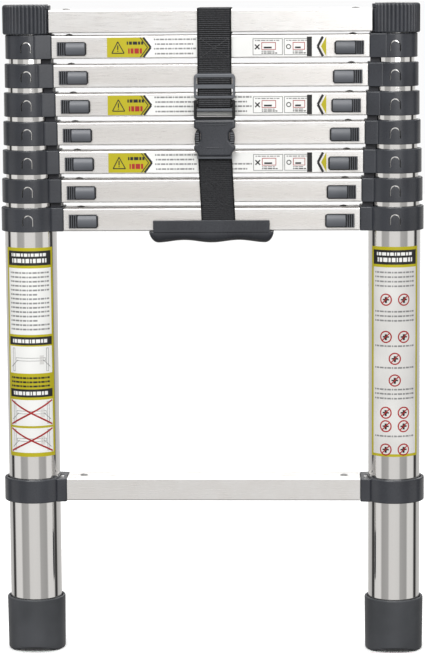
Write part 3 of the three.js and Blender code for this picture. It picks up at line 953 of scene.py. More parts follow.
# %% [markdown]
# ## Feet
#
# The feet are thick rubber cups. Their soles are flat in the middle and lift towards
# the front and back, so that the ladder also stands well when it leans. The cup is
# turned, and every point of its underside is then lifted by how far it lies in front
# or behind. Grooves across the sole give grip.

# %% Feet
FOOT_R_TOP = 32.4
FOOT_R_BASE = 31.8
FOOT_HEIGHT = 59.8
FOOT_FLOOR = 10.0
SOLE_HALF = 20.0
SOLE_RISE = 6.0
TREAD_PITCH = 7.0
TREAD_WIDTH = 2.2
TREAD_DEPTH = 2.0


def sole_height(y):
    beyond = max(abs(y) - SOLE_HALF, 0) / (FOOT_R_TOP - SOLE_HALF)
    return SOLE_RISE * min(beyond, 1)


def lifted(shape, top):
    """The shape with its lower part raised to follow the rocker of the sole."""
    points, faces = shape
    moved = []
    for x, y, z in points:
        share = max(0, 1 - z / top)
        moved.append((x, y, z + sole_height(y) * share))
    return moved, faces


def make_foot(side):
    x = -STILE_X * SIDES[side]
    grip = tube_radius(1) + GAP
    profile = [(0.5, 0), (10, 0), (20, 0), (FOOT_R_BASE - 2.4, 0), (FOOT_R_BASE - 1.0, 0.5),
               (FOOT_R_BASE - 0.25, 1.5), (FOOT_R_BASE, 3.0)]
    steps = 5
    for i in range(1, steps + 1):
        share = i / steps
        radius = FOOT_R_BASE + (FOOT_R_TOP - FOOT_R_BASE) * share
        profile.append((radius, 3 + (FOOT_HEIGHT - 4.5) * share))
    profile += [(FOOT_R_TOP - 0.35, FOOT_HEIGHT - 0.6), (FOOT_R_TOP - 1.2, FOOT_HEIGHT),
                (grip + 1.6, FOOT_HEIGHT), (grip + 0.4, FOOT_HEIGHT - 1.4), (grip, FOOT_HEIGHT - 4),
                (grip, FOOT_FLOOR), (0.5, FOOT_FLOOR)]
    cup = lifted(turned(profile, x), FOOT_FLOOR)
    foot = make_piece(
        f"rocker_foot_{side}", [cup], foot_rubber, "base_section", [f"foot_{side}"],
    )
    grooves = []
    for i in range(-4, 5):
        y = i * TREAD_PITCH
        z = sole_height(y)
        groove = [(y - TREAD_WIDTH / 2, z - 3), (y + TREAD_WIDTH / 2, z - 3),
                  (y + TREAD_WIDTH / 3, z + TREAD_DEPTH), (y - TREAD_WIDTH / 3, z + TREAD_DEPTH)]
        grooves.append(loft([[(w, u, v) for u, v in groove] for w in (x - 40, x + 40)]))
    carve(foot, grooves)


for side in SIDES:
    make_foot(side)

# %% [markdown]
# ## Rungs
#
# The rungs are extruded aluminium tube with rounded corners. The top is the tread, so
# it has fine ribs along its length. An extrusion has the same section everywhere,
# so one outline pulled along the rung makes it. Each sliding rung is slotted for the
# stems of its two latches, and a rivet near each end holds it on the collar.

# %% Rung section
RUNG_CORNER_R = 1.5
TREAD_HALF = 15.0
TREAD_RIBS = 9
TREAD_RISE = 0.5


def rung_section(low, half, height, radius, rise):
    """Section of the rung, anticlockwise from the lower front corner, with tread ribs rise high."""
    top = low + height
    section = arc((-half + radius, low + radius), radius, 180, 270, 4)
    section += arc((half - radius, low + radius), radius, 270, 360, 4)
    section += arc((half - radius, top - radius), radius, 0, 90, 4)
    pitch = 2 * TREAD_HALF / TREAD_RIBS
    for i in range(TREAD_RIBS):
        start = TREAD_HALF - i * pitch
        section += [(start, top), (start - pitch * 0.12, top - rise),
                    (start - pitch * 0.30, top - rise), (start - pitch * 0.42, top)]
    section += arc((-half + radius, top - radius), radius, 90, 180, 4)
    return section


def rung_bar(low, reach):
    half = RUNG_DEPTH / 2
    outside = rung_section(low, half, RUNG_HEIGHT, RUNG_CORNER_R, TREAD_RISE)
    inside = rung_section(low + RUNG_WALL, half - RUNG_WALL, RUNG_HEIGHT - 2 * RUNG_WALL, 0.8, 0)
    inside = [(u, v - 0.02 * (i % 2)) for i, (u, v) in enumerate(inside)]
    loops = [[(w, u, v) for u, v in outside] for w in (-reach, reach)]
    loops += [[(w, u, v) for u, v in inside] for w in (reach, -reach)]
    return loft(loops, ring=True)


section_points = rung_section(0, RUNG_DEPTH / 2, RUNG_HEIGHT, RUNG_CORNER_R, TREAD_RISE)
print("rung section has", len(section_points), "points")

# %% Rungs and rivets
RIVET_R = 4.3
RIVET_RISE = 1.8
RIVET_INSET = 17.5
LATCH_SLOT = (14.4, 35.6)  # from the socket's end, along the rung
LATCH_SLOT_HALF = 4.3


def rivet(x, top):
    dome = [(RIVET_R * math.cos(a), top + RIVET_RISE * math.sin(a) - 0.2)
            for a in (0, 0.35, 0.7, 1.05, 1.4)]
    return turned([(0.3, top - 1), (RIVET_R, top - 1)] + dome + [(0.3, top + RIVET_RISE)], x, 0, 32)


def rung_end(k):
    """Stile axis to the end of rung k."""
    if k == 1:
        return FIXED_SOCKET_END
    if k == TUBE_COUNT + 1:
        return CAP_R - 3
    return socket_end(k)


def make_rung(k):
    low, high = rung_span(k)
    reach = STILE_X - rung_end(k) - GAP
    body = body_of_section(max(k - 1, 1))
    bar = make_piece(
        f"rung_bar_{k}", [rung_bar(low, reach)], brushed_aluminium, body,
        [f"rung_{k}"], sharp_angle=40,
    )
    if 1 < k <= TUBE_COUNT:
        z = latch_height(k)
        slots = []
        for inward in SIDES.values():
            start, stop = sorted(inward * (-STILE_X + socket_end(k) + at) for at in LATCH_SLOT)
            outline = rounded_rectangle(start, stop, z - LATCH_SLOT_HALF, z + LATCH_SLOT_HALF, 1)
            slots.append(slab(outline, -RUNG_DEPTH / 2 - 2, -RUNG_DEPTH / 2 + 3, 0.1, frontal))
        carve(bar, slots, 40)
    inset_x = reach - RIVET_INSET
    make_piece(
        f"rung_rivets_{k}", [rivet(sign * inset_x, high) for sign in (-1, 1)], rivet_steel,
        body,
    )


for k in range(1, TUBE_COUNT + 2):
    make_rung(k)
print("rungs done,", len(made), "pieces so far")

# %% [markdown]
# ## Thumb latches
#
# Pushing both thumb buttons of a rung towards the middle pulls two pins out of the
# tubes. A button has a ribbed end for the thumb and a smooth domed pad beside it. It
# moves with its stem, carrier and pin, all on the latch's own body. Behind it a coil
# spring pushes the pin home. The spring stays with the rung and gets shorter as the
# latch opens; here it keeps its length and gets a mesh of its own.

# %% Thumb buttons
BUTTON_LENGTH = 32.0
BUTTON_HALF = 7.5
BUTTON_INSET = 6.0
BUTTON_FRONT = 25.0
BUTTON_CHAMFER = 2.0
RIB_ZONE = 9.4
RIB_COUNT = 4
RIB_PITCH = 2.3
RIB_WIDTH = 0.9
PAD_MARGIN = 1.1
PAD_CROWN = 1.9
PAD_EDGE = 0.7


def chamfered(u0, u1, v0, v1, cut):
    """A rectangle with the corners at its u1 end cut off."""
    return [(u0, v0), (u1 - cut, v0), (u1, v0 + cut), (u1, v1 - cut), (u1 - cut, v1), (u0, v1)]


def crowned_pad(u0, u1, half, front, back):
    """A pad whose front swells between its lower and its upper edge, in rows from below."""
    loops = []
    rows = 16
    for i in range(rows + 1):
        share = math.sin(math.pi * (i / rows - 0.5))
        y = front + PAD_CROWN * share**2
        cut = PAD_EDGE * (1 - math.sqrt(1 - share**6))
        a, b = u0 + cut, u1 - cut
        loops.append([
            (u, depth, half * share)
            for u, depth in ((a, back), (a, y + PAD_EDGE), (a + PAD_EDGE / 3, y + PAD_EDGE / 3),
                             (a + PAD_EDGE, y), (b - PAD_EDGE, y), (b - PAD_EDGE / 3, y + PAD_EDGE / 3),
                             (b, y + PAD_EDGE), (b, back))
        ])
    return loft(loops)


def mirrored_place(x, inward, z):
    """Takes (distance from the stile axis, y, height over the latch's middle) to a place."""
    return lambda shape: ([(x + inward * u, y, z + v) for u, y, v in shape[0]], shape[1])


def make_latch(k, side):
    inward, x, z = SIDES[side], -STILE_X * SIDES[side], latch_height(k)
    put = mirrored_place(x, inward, z)
    start = socket_end(k) + BUTTON_INSET
    stop = start + BUTTON_LENGTH
    face = -RUNG_DEPTH / 2 - GAP
    # The near-black plate is the button's base and also a painted shade: it stands for the dark shadow
    # gap round the pad.
    base_and_shade_plate = slab(chamfered(start, stop, -BUTTON_HALF, BUTTON_HALF, BUTTON_CHAMFER),
                 -BUTTON_FRONT + 2.2, face, 0.5, frontal)
    ribs = []
    for i in range(RIB_COUNT):
        u = start + 0.5 + i * RIB_PITCH
        outline = rounded_rectangle(u, u + RIB_WIDTH, -BUTTON_HALF + 0.3, BUTTON_HALF - 0.3, 0.5)
        ribs.append(slab(outline, -BUTTON_FRONT + 0.1, -BUTTON_FRONT + 2.6, 0.5, frontal))
    pad = crowned_pad(start + RIB_ZONE, stop - PAD_MARGIN - 0.4, BUTTON_HALF - PAD_MARGIN,
                      -BUTTON_FRONT, -BUTTON_FRONT + 2.8)
    body = f"latch_body_{k}_{side}"
    shapes = [(*put(base_and_shade_plate), 0)] + [(*put(rib), 1) for rib in ribs] + [(*put(pad), 1)]
    make_piece(f"thumb_button_{k}_{side}", shapes, [frame_plastic, pad_plastic], body,
               [f"latch_{k}_{side}"])
    return put, body


# %% Stems, pins and springs
STEM_INSET = 15.0
STEM_LENGTH = 14.0
STEM_HALF = 4.0
CARRIER_BACK = 5.0
PIN_R = 4.0
SPRING_R = 3.4
SPRING_WIRE = 0.45
SPRING_TURNS = 7
SPRING_LENGTH = 20.0


def pin_profile(tip, tail):
    return [(PIN_R - 1.2, tip), (PIN_R - 0.3, tip + 0.5), (PIN_R, tip + 1.6), (PIN_R, tail)]


def spring_shape(start, stop):
    """Wire wound round the X axis."""
    loops = []
    steps = SPRING_TURNS * 20
    for i in range(steps + 1):
        turn = 2 * math.pi * SPRING_TURNS * i / steps
        along = start + (stop - start) * i / steps
        loop = []
        for j in range(8):
            a = 2 * math.pi * j / 8
            radius = SPRING_R + SPRING_WIRE * math.cos(a)
            shift = along + SPRING_WIRE * math.sin(a)
            loop.append((shift, radius * math.cos(turn), radius * math.sin(turn)))
        loops.append(loop)
    return loft(loops)


def make_latch_inside(k, side, put, body):
    stem_start = socket_end(k) + STEM_INSET
    stem_stop = stem_start + STEM_LENGTH
    outline = rounded_rectangle(stem_start, stem_stop, -STEM_HALF, STEM_HALF, 0.8)
    stem = slab(outline, -RUNG_DEPTH / 2 - 1, CARRIER_BACK, 0.4, frontal)
    make_piece(f"latch_carrier_{k}_{side}", [put(stem)], frame_plastic, body)
    tip = tube_radius(k - 1) - TUBE_WALL
    turns = turned(pin_profile(tip, stem_start + 2), 0, 0, 32, lambda u, v, w: (w, u, v), ring=False)
    make_piece(f"lock_pin_{k}_{side}", [put(turns)], plain_steel, body)
    anchor = stem_stop + GAP + SPRING_LENGTH
    spring = make_piece(f"latch_spring_{k}_{side}", [put(spring_shape(stem_stop + GAP, anchor))],
                        plain_steel, body_of_section(k - 1), even=False)
    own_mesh(spring)
    post = turned([(0.4, anchor), (5.5, anchor), (5.5, anchor + 3), (0.4, anchor + 3)], 0, 0, 32,
                  lambda u, v, w: (w, u, v))
    make_piece(f"spring_seat_{k}_{side}", [put(post)], plain_steel, body_of_section(k - 1))


for k in range(2, TUBE_COUNT + 1):
    for side in SIDES:
        place, latch_body = make_latch(k, side)
        make_latch_inside(k, side, place, latch_body)
print("latches done,", len(made), "pieces so far")

# %% [markdown]
# ## Carry handle
#
# The handle clips up under the lowest sliding rung. Its grip is a half-round bar with
# two finger hollows, so its section is drawn at many places along the bar, each with
# the right depth, and the sections are lofted. Two flanges stand up from it, in
# front of the rung and behind it.

# %% Handle
HANDLE_HALF = 68.0
HANDLE_TOP_HALF = 63.6
HANDLE_BOTTOM = 457.0
GRIP_WAVE = 2.8
GRIP_PITCH = 60.0
HANDLE_END_R = 10.0


def grip_depth(u, top):
    """How far the grip hangs below its top at u from the middle."""
    wave = GRIP_WAVE * (1 - math.cos(2 * math.pi * u / GRIP_PITCH)) / 2
    depth = top - HANDLE_BOTTOM - wave * (abs(u) < GRIP_PITCH)
    beyond = (abs(u) - (HANDLE_HALF - HANDLE_END_R)) / HANDLE_END_R
    if beyond > 0:
        depth *= math.sqrt(max(1 - beyond**2, 0.004))
    return depth


def make_handle():
    low, high = box_mm("carry_handle")
    top = rung_span(2)[0] - GAP
    stations = [HANDLE_HALF * math.sin(math.pi / 2 * i / 30) for i in range(-30, 31)]
    loops = []
    for u in stations:
        depth = grip_depth(u, top)
        section = [(high.y - 0.6, top), (high.y, top - 0.6 * depth / (top - HANDLE_BOTTOM))]
        turns = [math.pi * i / 24 for i in range(25)]
        for t in turns:
            flat = 0.35
            section.append((high.y * math.copysign(abs(math.cos(t)) ** flat, math.cos(t)),
                            top - 1 - (depth - 1) * math.sin(t) ** 0.9))
        section += [(low.y, top - 0.6 * depth / (top - HANDLE_BOTTOM)), (low.y + 0.6, top)]
        loops.append([(u, y, min(z, top)) for y, z in section])
    grip = loft(loops)
    flange = rounded_rectangle(-HANDLE_TOP_HALF, HANDLE_TOP_HALF, top - 2, high.z, 1.2)
    face = RUNG_DEPTH / 2 + GAP
    front = slab(flange, low.y, -face - 2.2, 0.7, frontal)
    back = slab(flange, face, high.y, 0.7, frontal)
    ends = [
        slab(rounded_rectangle(*sorted((s * 30, s * HANDLE_TOP_HALF)), top - 2, high.z, 1.2),
             -face - 2.6, -face, 0.5, frontal)
        for s in (-1, 1)
    ]
    return make_piece("grip_handle", [grip, front, back, *ends], collar_plastic, "base_section",
                      ["carry_handle"])


make_handle()

# %% [markdown]
# ## Webbing strap
#
# A strap keeps the ladder shut. Its upper webbing is sewn round the top rung and comes
# down the front, its lower webbing is held behind the handle. Flat webbing keeps its
# width and bends only one way, so it isn't simulated: a thin woven section is swept
# along a path of straight runs and tight folds, and swells and thins every couple of
# millimetres, which makes the crosswise ribs.

# %% Sweeping webbing
web_low, web_high = box_mm("strap_upper")
WEB_X = (web_low.x + web_high.x) / 2
WEB_HALF = (web_high.x - web_low.x) / 2
WEB_THICK = 1.4
WEB_RIB_PITCH = 2.2
WEB_STEP = WEB_RIB_PITCH / 6
WEB_COLUMNS = 19


def eased(path, radius):
    """The path with each corner replaced by a short curve."""
    out = [Vector(path[0])]
    for before, corner, after in zip(path, path[1:], path[2:]):
        corner = Vector(corner)
        back = Vector(before) - corner
        on = Vector(after) - corner
        reach = min(radius, back.length / 2.1, on.length / 2.1)
        start, stop = corner + back.normalized() * reach, corner + on.normalized() * reach
        for i in range(7):
            t = i / 6
            out.append(start * (1 - t) ** 2 + corner * 2 * t * (1 - t) + stop * t**2)
    out.append(Vector(path[-1]))
    return out


def evenly(path, step):
    """Points spaced evenly along a path."""
    out, carried = [path[0]], 0.0
    for a, b in zip(path, path[1:]):
        length = (b - a).length
        at = step - carried
        while at < length:
            out.append(a + (b - a) * (at / length))
            at += step
        carried = length - (at - step)
    return out + [path[-1]]


def web_section(swell):
    """Section of the webbing as (across, half thickness) points, with plain selvedges."""
    across = [WEB_HALF * (2 * i / (WEB_COLUMNS - 1) - 1) for i in range(WEB_COLUMNS)]
    half = [WEB_THICK / 2 * (0.55 + 0.45 * swell) for _ in across]
    half[0] = half[-1] = WEB_THICK * 0.22
    return list(zip(across, half)) + [(u, -h) for u, h in zip(reversed(across), reversed(half))]


FOLD_R = 2.2  # how tightly the webbing turns a corner


def strap_shape(path, drift=lambda z: 0.0):
    """Webbing along a path of (y, z) points; drift moves it sideways with height."""
    line = evenly(eased(path, FOLD_R), WEB_STEP)
    loops, crest_highlight = [], []
    for i, point in enumerate(line):
        along = (line[min(i + 1, len(line) - 1)] - line[max(i - 1, 0)]).normalized()
        normal = Vector((-along.y, along.x))
        swell = abs(math.sin(math.pi * i * WEB_STEP / WEB_RIB_PITCH))
        loop = []
        for u, h in web_section(swell):
            y, z = point + normal * h
            loop.append((WEB_X + drift(z) + u, y, z))
            # How much painted highlight each point gets, from its place on the rib.
            crest_highlight.append(swell * (abs(u) < WEB_HALF * 0.93))
        loops.append(loop)
    return loft(loops), crest_highlight, sum((b - a).length for a, b in zip(line, line[1:]))


def make_webbing(name, path, body, stands_for, drift=lambda z: 0.0):
    shape, crest_highlight, length = strap_shape(path, drift)
    strap = make_piece(name, [shape], webbing, body, [stands_for], even=False)
    # The rib attribute carries that share to the material, which paints the crests paler.
    rib = strap.data.attributes.new("rib", "FLOAT", "POINT")
    rib.data.foreach_set("value", crest_highlight)
    return length


print("webbing section has", len(web_section(1)), "points")

# %% Upper and lower webbing
REST_Y = RUNG_DEPTH / 2 + GAP + WEB_THICK / 2
TAIL_Z = 655.5
GLIDE_TOP = 642.0
GLIDE_LOW = 614.0
MALE_LOOP_Z = 605.4
DRIFT = 3.2
HANDLE_TOP = box_mm("carry_handle")[1].z
FEMALE_LOW = box_mm("buckle_female")[0].z


def upper_path():
    high_8 = rung_span(TUBE_COUNT)[1]
    low_9, high_9 = rung_span(TUBE_COUNT + 1)
    over = high_9 + GAP + WEB_THICK / 2
    under = (low_9 + high_8) / 2
    run = REST_Y + WEB_THICK + GAP
    return [
        (-REST_Y, TAIL_Z), (-REST_Y, under), (REST_Y, under), (REST_Y, over), (-run, over),
        (-run, GLIDE_TOP + 6), (-run - 3.0, GLIDE_TOP - 8), (-run - 1.2, GLIDE_LOW + 8),
        (-27.6, MALE_LOOP_Z + 3), (-27.6, MALE_LOOP_Z), (-24.6, MALE_LOOP_Z), (-24.4, 612),
        (-22.4, GLIDE_LOW + 6), (-22.2, GLIDE_TOP - 4),
    ]


def lower_path():
    return [
        (-REST_Y, rung_span(2)[0] + 2), (-REST_Y, HANDLE_TOP + 8),
        (-REST_Y - 1.5, FEMALE_LOW - 20), (-REST_Y - 3.4, FEMALE_LOW + 4),
    ]


def lower_drift(z):
    """The lower webbing runs a little askew, so its lower end lies further right."""
    share = (FEMALE_LOW - z) / (FEMALE_LOW - HANDLE_TOP)
    return DRIFT * max(0.0, min(1.0, share))


upper_length = make_webbing("upper_webbing", upper_path(), "top_section", "strap_upper")
lower_length = make_webbing("lower_webbing", lower_path(), "base_section", "strap_lower", lower_drift)
print("webbing lengths, mm:", round(upper_length), round(lower_length))

# %% Stitching
STITCH = 2.6


def stitch_row(u0, v0, u1, v1, y):
    """A row of short rounded stitches from one point to another on the front of the webbing."""
    length = math.hypot(u1 - u0, v1 - v0)
    count = max(int(length / STITCH), 1)
    rows = []
    across = Vector((-(v1 - v0), u1 - u0)).normalized() * 0.35
    for i in range(count):
        a, b = (i + 0.12) / count, (i + 0.82) / count
        start = Vector((u0 + (u1 - u0) * a, v0 + (v1 - v0) * a))
        stop = Vector((u0 + (u1 - u0) * b, v0 + (v1 - v0) * b))
        outline = [start - across, stop - across, stop + across, start + across]
        rows.append(slab([(p.x, p.y) for p in outline], y - 0.35, y + 0.3, 0.15, frontal))
    return rows


SEAM_LOW, SEAM_HIGH = 659.0, 680.0
seam_y = -REST_Y - 1.5 * WEB_THICK - GAP
left, right = WEB_X - WEB_HALF + 3, WEB_X + WEB_HALF - 3
stitches = []
for ends in ((left, SEAM_LOW, right, SEAM_LOW), (left, SEAM_HIGH, right, SEAM_HIGH),
             (left, SEAM_LOW, left, SEAM_HIGH), (right, SEAM_LOW, right, SEAM_HIGH),
             (left, SEAM_LOW, right, SEAM_HIGH), (left, SEAM_HIGH, right, SEAM_LOW)):
    stitches += stitch_row(*ends, seam_y)
make_piece("strap_stitching", stitches, stitching, "top_section", even=False)
print(len(stitches), "stitches")

# %% [markdown]
# ## Buckle
#
# A side-release buckle has a flat socket with open sides and a plug with two springy
# prongs, whose ribbed pads show in the openings. Above it a slide with three bars
# sets the length of the strap. All three are drawn from the front as outlines and
# pulled to their thickness, with openings cut through.

# %% Female half
BUCKLE_HALF = 22.4
BUCKLE_FRONT = 32.6
BUCKLE_BACK = 20.6


def from_sides(points):
    """A symmetrical outline from its right half, listed upwards."""
    right_half = [(WEB_X + u, v) for u, v in points]
    left_half = [(WEB_X - u, v) for u, v in reversed(points)]
    return right_half + left_half


def make_female():
    low, high = box_mm("buckle_female")
    outline = from_sides([
        (17.0, low.z), (18.6, low.z + 2.0), (19.6, low.z + 4.4), (21.8, low.z + 6.4),
        (BUCKLE_HALF, low.z + 8.4), (BUCKLE_HALF, low.z + 11), (18.6, low.z + 14),
        (15.4, low.z + 18), (15.4, low.z + 25), (18.2, low.z + 28.6), (BUCKLE_HALF, low.z + 31),
        (BUCKLE_HALF, high.z - 1.2), (BUCKLE_HALF - 1.2, high.z),
    ])
    shell = make_piece(
        "buckle_socket", [slab(outline, -BUCKLE_FRONT, -BUCKLE_BACK, 2.6, frontal, 6)],
        collar_plastic, "base_section", ["buckle_female"],
    )
    pocket = rounded_rectangle(WEB_X - 20.2, WEB_X + 20.2, low.z + 7, high.z + 5, 1)
    carve(shell, [slab(pocket, -BUCKLE_FRONT + 2, -BUCKLE_BACK - 2, 0.2, frontal)])
    bar = rounded_rectangle(WEB_X - 17.2, WEB_X + 17.2, low.z - 3.0, low.z + 0.6, 1.2)
    rail = [rounded_rectangle(*sorted((WEB_X + s * 19.0, WEB_X + s * 16.6)), low.z - 3.0, low.z + 3, 0.9)
            for s in (-1, 1)]
    make_piece(
        "buckle_web_bar", [slab(bar, -29.4, -25.6, 1.2, frontal, 4)]
        + [slab(r, -29.6, -25.2, 0.8, frontal) for r in rail],
        pad_plastic, "base_section",
    )
    ridge = [slab(rounded_rectangle(WEB_X - w, WEB_X + w, z, z + 1.0, 0.45), -BUCKLE_FRONT - 0.45,
                  -BUCKLE_FRONT + 0.4, 0.3, frontal)
             for w, z in ((14, high.z - 4), (12, high.z - 6.6), (10, low.z + 9))]
    make_piece("buckle_ridges", ridge, collar_plastic, "base_section")


make_female()

# %% Male half
RAIL_WIDTH = 3.2
LOOP_BAR_Z = (606.4, 609.4)  # the upper webbing turns back round this bar
GREY_BAR_Z = (600.8, 604.4)
PRONG_SPAN = (9.0, 13.0)  # the stem of a prong, measured from the middle
PAD_SHAPE = [(16.4, 563.2), (19.4, 562.6), (21.2, 565.4), (21.9, 571.5), (21.2, 577.6),
             (19.4, 581.2), (16.4, 580.6)]
PAD_RIBS = 6
PAD_RIB_Z = 564.6
PAD_RIB_PITCH = 2.5
PAD_RIB_SPAN = (16.8, 21.0)


def both_ways(s, reach):
    """A pair of distances from the middle of the strap, on the side s, in rising order."""
    return sorted((WEB_X + s * reach[0], WEB_X + s * reach[1]))


def make_male():
    low, high = box_mm("buckle_male")
    shoulder = box_mm("buckle_female")[1].z + GAP
    rails = [
        slab(rounded_rectangle(*both_ways(s, (BUCKLE_HALF, BUCKLE_HALF - RAIL_WIDTH)),
                               shoulder, high.z, 1.2), -30.6, -23.0, 0.9, frontal)
        for s in (-1, 1)
    ]
    bars = [(shoulder, shoulder + 2.6, -30.0, -23.4), (*LOOP_BAR_Z, -26.8, -25.2)]
    bars += [(high.z - 1.6, high.z, -24.6, -23.0)]
    crossbars = [
        slab(rounded_rectangle(WEB_X - BUCKLE_HALF + 1, WEB_X + BUCKLE_HALF - 1, z0, z1, 0.7),
             front, back, 0.5, frontal)
        for z0, z1, front, back in bars
    ]
    make_piece("buckle_plug", rails + crossbars, frame_plastic, "top_section",
               ["buckle_male"])
    grey_bar = rounded_rectangle(
        WEB_X - BUCKLE_HALF + 2, WEB_X + BUCKLE_HALF - 2, *GREY_BAR_Z, 1.2
    )
    prongs = []
    ribs = []
    for s in (-1, 1):
        stem = rounded_rectangle(*both_ways(s, PRONG_SPAN), low.z + 16, shoulder + 1, 1)
        prongs.append(slab(stem, -29.6, -23.6, 0.6, frontal))
        outline = [(WEB_X + s * u, v) for u, v in PAD_SHAPE]
        prongs.append(slab(outline if s > 0 else outline[::-1], -31.4, -21.8, 1.2, frontal))
        for i in range(PAD_RIBS):
            z = PAD_RIB_Z + i * PAD_RIB_PITCH
            rib = rounded_rectangle(*both_ways(s, PAD_RIB_SPAN), z, z + 1.1, 0.4)
            ribs.append((*slab(rib, -31.9, -31.0, 0.3, frontal), 1))
    bar = (*slab(grey_bar, -29.4, -24.4, 1.1, frontal), 1)
    make_piece("buckle_prongs", prongs + ribs + [bar], [frame_plastic, pad_plastic],
               "top_section")


make_male()

# %% Strap slide
def make_slide():
    outer = rounded_rectangle(WEB_X - BUCKLE_HALF, WEB_X + BUCKLE_HALF, GLIDE_LOW, GLIDE_TOP, 4.5)
    slide = make_piece("strap_slide", [slab(outer, -26.2, -22.6, 1.5, frontal, 5)], pad_plastic,
                       "top_section")
    holes = [rounded_rectangle(WEB_X - 19.9, WEB_X + 19.9, z0, z1, 2)
             for z0, z1 in ((GLIDE_LOW + 4, GLIDE_LOW + 12), (GLIDE_TOP - 12, GLIDE_TOP - 4))]
    carve(slide, [slab(hole, -30, -20, 0.1, frontal) for hole in holes])


make_slide()

# %% [markdown]
# ## Labels
#
# Printed film labels sit on three rungs and on both outer tubes. Their signs and words
# are replaced here by plain marks: bars for lines of text and simple shapes for
# pictures. Each mark is its own very thin patch of ink, laid on the film and bent
# with it, so the print stays sharp at any distance. `patch` makes one between two
# lines of points, and a `wrap` says where a point of the flat label goes.

# %% Ink patches
FILM = 0.12
INK = 0.04  # height of each layer of ink; marks on a curve must clear the flats below
INK_ORDER = ["yellow", "black", "white", "silver", "grey", "red"]


def patch(first, second, level, wrap, closed=False):
    """A thin closed patch between two lines of (u, v) points."""
    count = len(first)
    top = FILM + level * INK
    points = [wrap(u, v, top) for u, v in first] + [wrap(u, v, top) for u, v in second]
    points += [wrap(u, v, 0) for u, v in first] + [wrap(u, v, 0) for u, v in second]
    a, b, c, d = (i * count for i in range(4))
    faces = []
    for i in range(count if closed else count - 1):
        j = (i + 1) % count
        faces += [(a + i, a + j, b + j, b + i), (c + j, c + i, d + i, d + j),
                  (a + j, a + i, c + i, c + j), (b + i, b + j, d + j, d + i)]
    if not closed:
        last = count - 1
        faces += [(a, b, d, c), (b + last, a + last, c + last, d + last)]
    return points, faces


def span(u0, u1, step=2.5):
    count = max(int(math.ceil((u1 - u0) / step)), 1)
    return [u0 + (u1 - u0) * i / count for i in range(count + 1)]


class Label:
    """A flat label that is filled with marks, then bent onto its surface."""

    def __init__(self, wrap, step=400.0):
        self.wrap, self.step, self.shapes = wrap, step, []

    def add(self, first, second, ink, layer, closed=False):
        shape = patch(first, second, layer, self.wrap, closed)
        self.shapes.append((*shape, INK_ORDER.index(ink)))

    def bar(self, u0, u1, v0, v1, ink, layer=1):
        across = span(u0, u1, self.step)
        self.add([(u, v0) for u in across], [(u, v1) for u in across], ink, layer)

    def border(self, u0, u1, v0, v1, width, ink):
        self.bar(u0, u1, v0, v0 + width, ink, 2)
        self.bar(u0, u1, v1 - width, v1, ink, 2)
        self.bar(u0, u0 + width, v0 + width, v1 - width, ink, 2)
        self.bar(u1 - width, u1, v0 + width, v1 - width, ink, 2)

    def ring(self, u, v, radius, width, ink):
        self.add(arc((u, v), radius, 0, 345, 23), arc((u, v), radius - width, 0, 345, 23), ink, 3, True)

    def stroke(self, u0, v0, u1, v1, width, ink):
        across = Vector((v1 - v0, u0 - u1)).normalized() * width / 2
        pieces = max(int(math.hypot(u1 - u0, v1 - v0) / self.step), 8)
        shares = [i / pieces for i in range(pieces + 1)]
        line = [Vector((u0 + (u1 - u0) * s, v0 + (v1 - v0) * s)) for s in shares]
        self.add([tuple(p + across) for p in line], [tuple(p - across) for p in line], ink, 4)

    def wedge(self, points, ink):
        """Four corners, anticlockwise from the lower left."""
        a, b, c, d = points
        self.add([a, b], [d, c], ink, 1)

    def words(self, u0, u1, v, height, ink, gap=0.9):
        """A line of small bars of uneven length, standing for text."""
        u, i = u0, 0
        while u < u1 - 1:
            length = min(1.6 + (i * 7 % 5) * 0.8, u1 - u)
            self.bar(u, u + length, v, v + height, ink, 2)
            u += length + gap
            i += 1

    def make(self, name, body):
        colours = [inks[ink] for ink in INK_ORDER]
        return make_piece(name, self.shapes, colours, body, even=False)


print("ink order:", INK_ORDER)

# %% Rung labels
LABEL_U = (-112.0, 125.5)  # ends of the strip along the rung
YELLOW_END = -72.5
CHEVRON = 8.0
LABEL_HALF = 10.6
TEXT_LINES = (7.7, 2.6, -2.3, -7.7)
TEXT_AREA = (-61.0, 44.5)
TEXT_HEIGHT = 1.7
# How many lines of text, counted from the lowest, go on beyond the strap.
LINES_BEYOND_STRAP = {8: 0, 6: 4, 4: 2}
PICTOGRAMS = ((46.0, 78.5), (79.8, 110.0))


def pictogram(label, u0, u1, half, struck):
    """A framed picture: a rung with a hand on it, struck out in red or ringed."""
    label.border(u0, u1, -half, half, 0.7, "grey")
    label.border(u0 + 9.5, u1 - 7.5, -half + 5.6, half - 4.2, 0.7, "red")
    label.bar(u0 + 12.0, u1 - 12.0, -half + 7.2, -half + 9.0, "black", 2)
    label.words(u0 + 2.5, u1 - 3, half - 2.8, 1.0, "grey")
    label.words(u0 + 9.5, u1 - 6, -half + 1.6, 1.1, "black", 0.7)
    label.words(u0 + 9.5, u1 - 9, -half + 3.6, 1.1, "grey", 0.7)
    if struck:
        label.stroke(u0 + 2.4, -2.6, u0 + 7.4, 2.4, 1.3, "black")
        label.stroke(u0 + 2.4, 2.4, u0 + 7.4, -2.6, 1.3, "black")
    else:
        label.ring(u0 + 5, 0, 2.7, 0.9, "black")


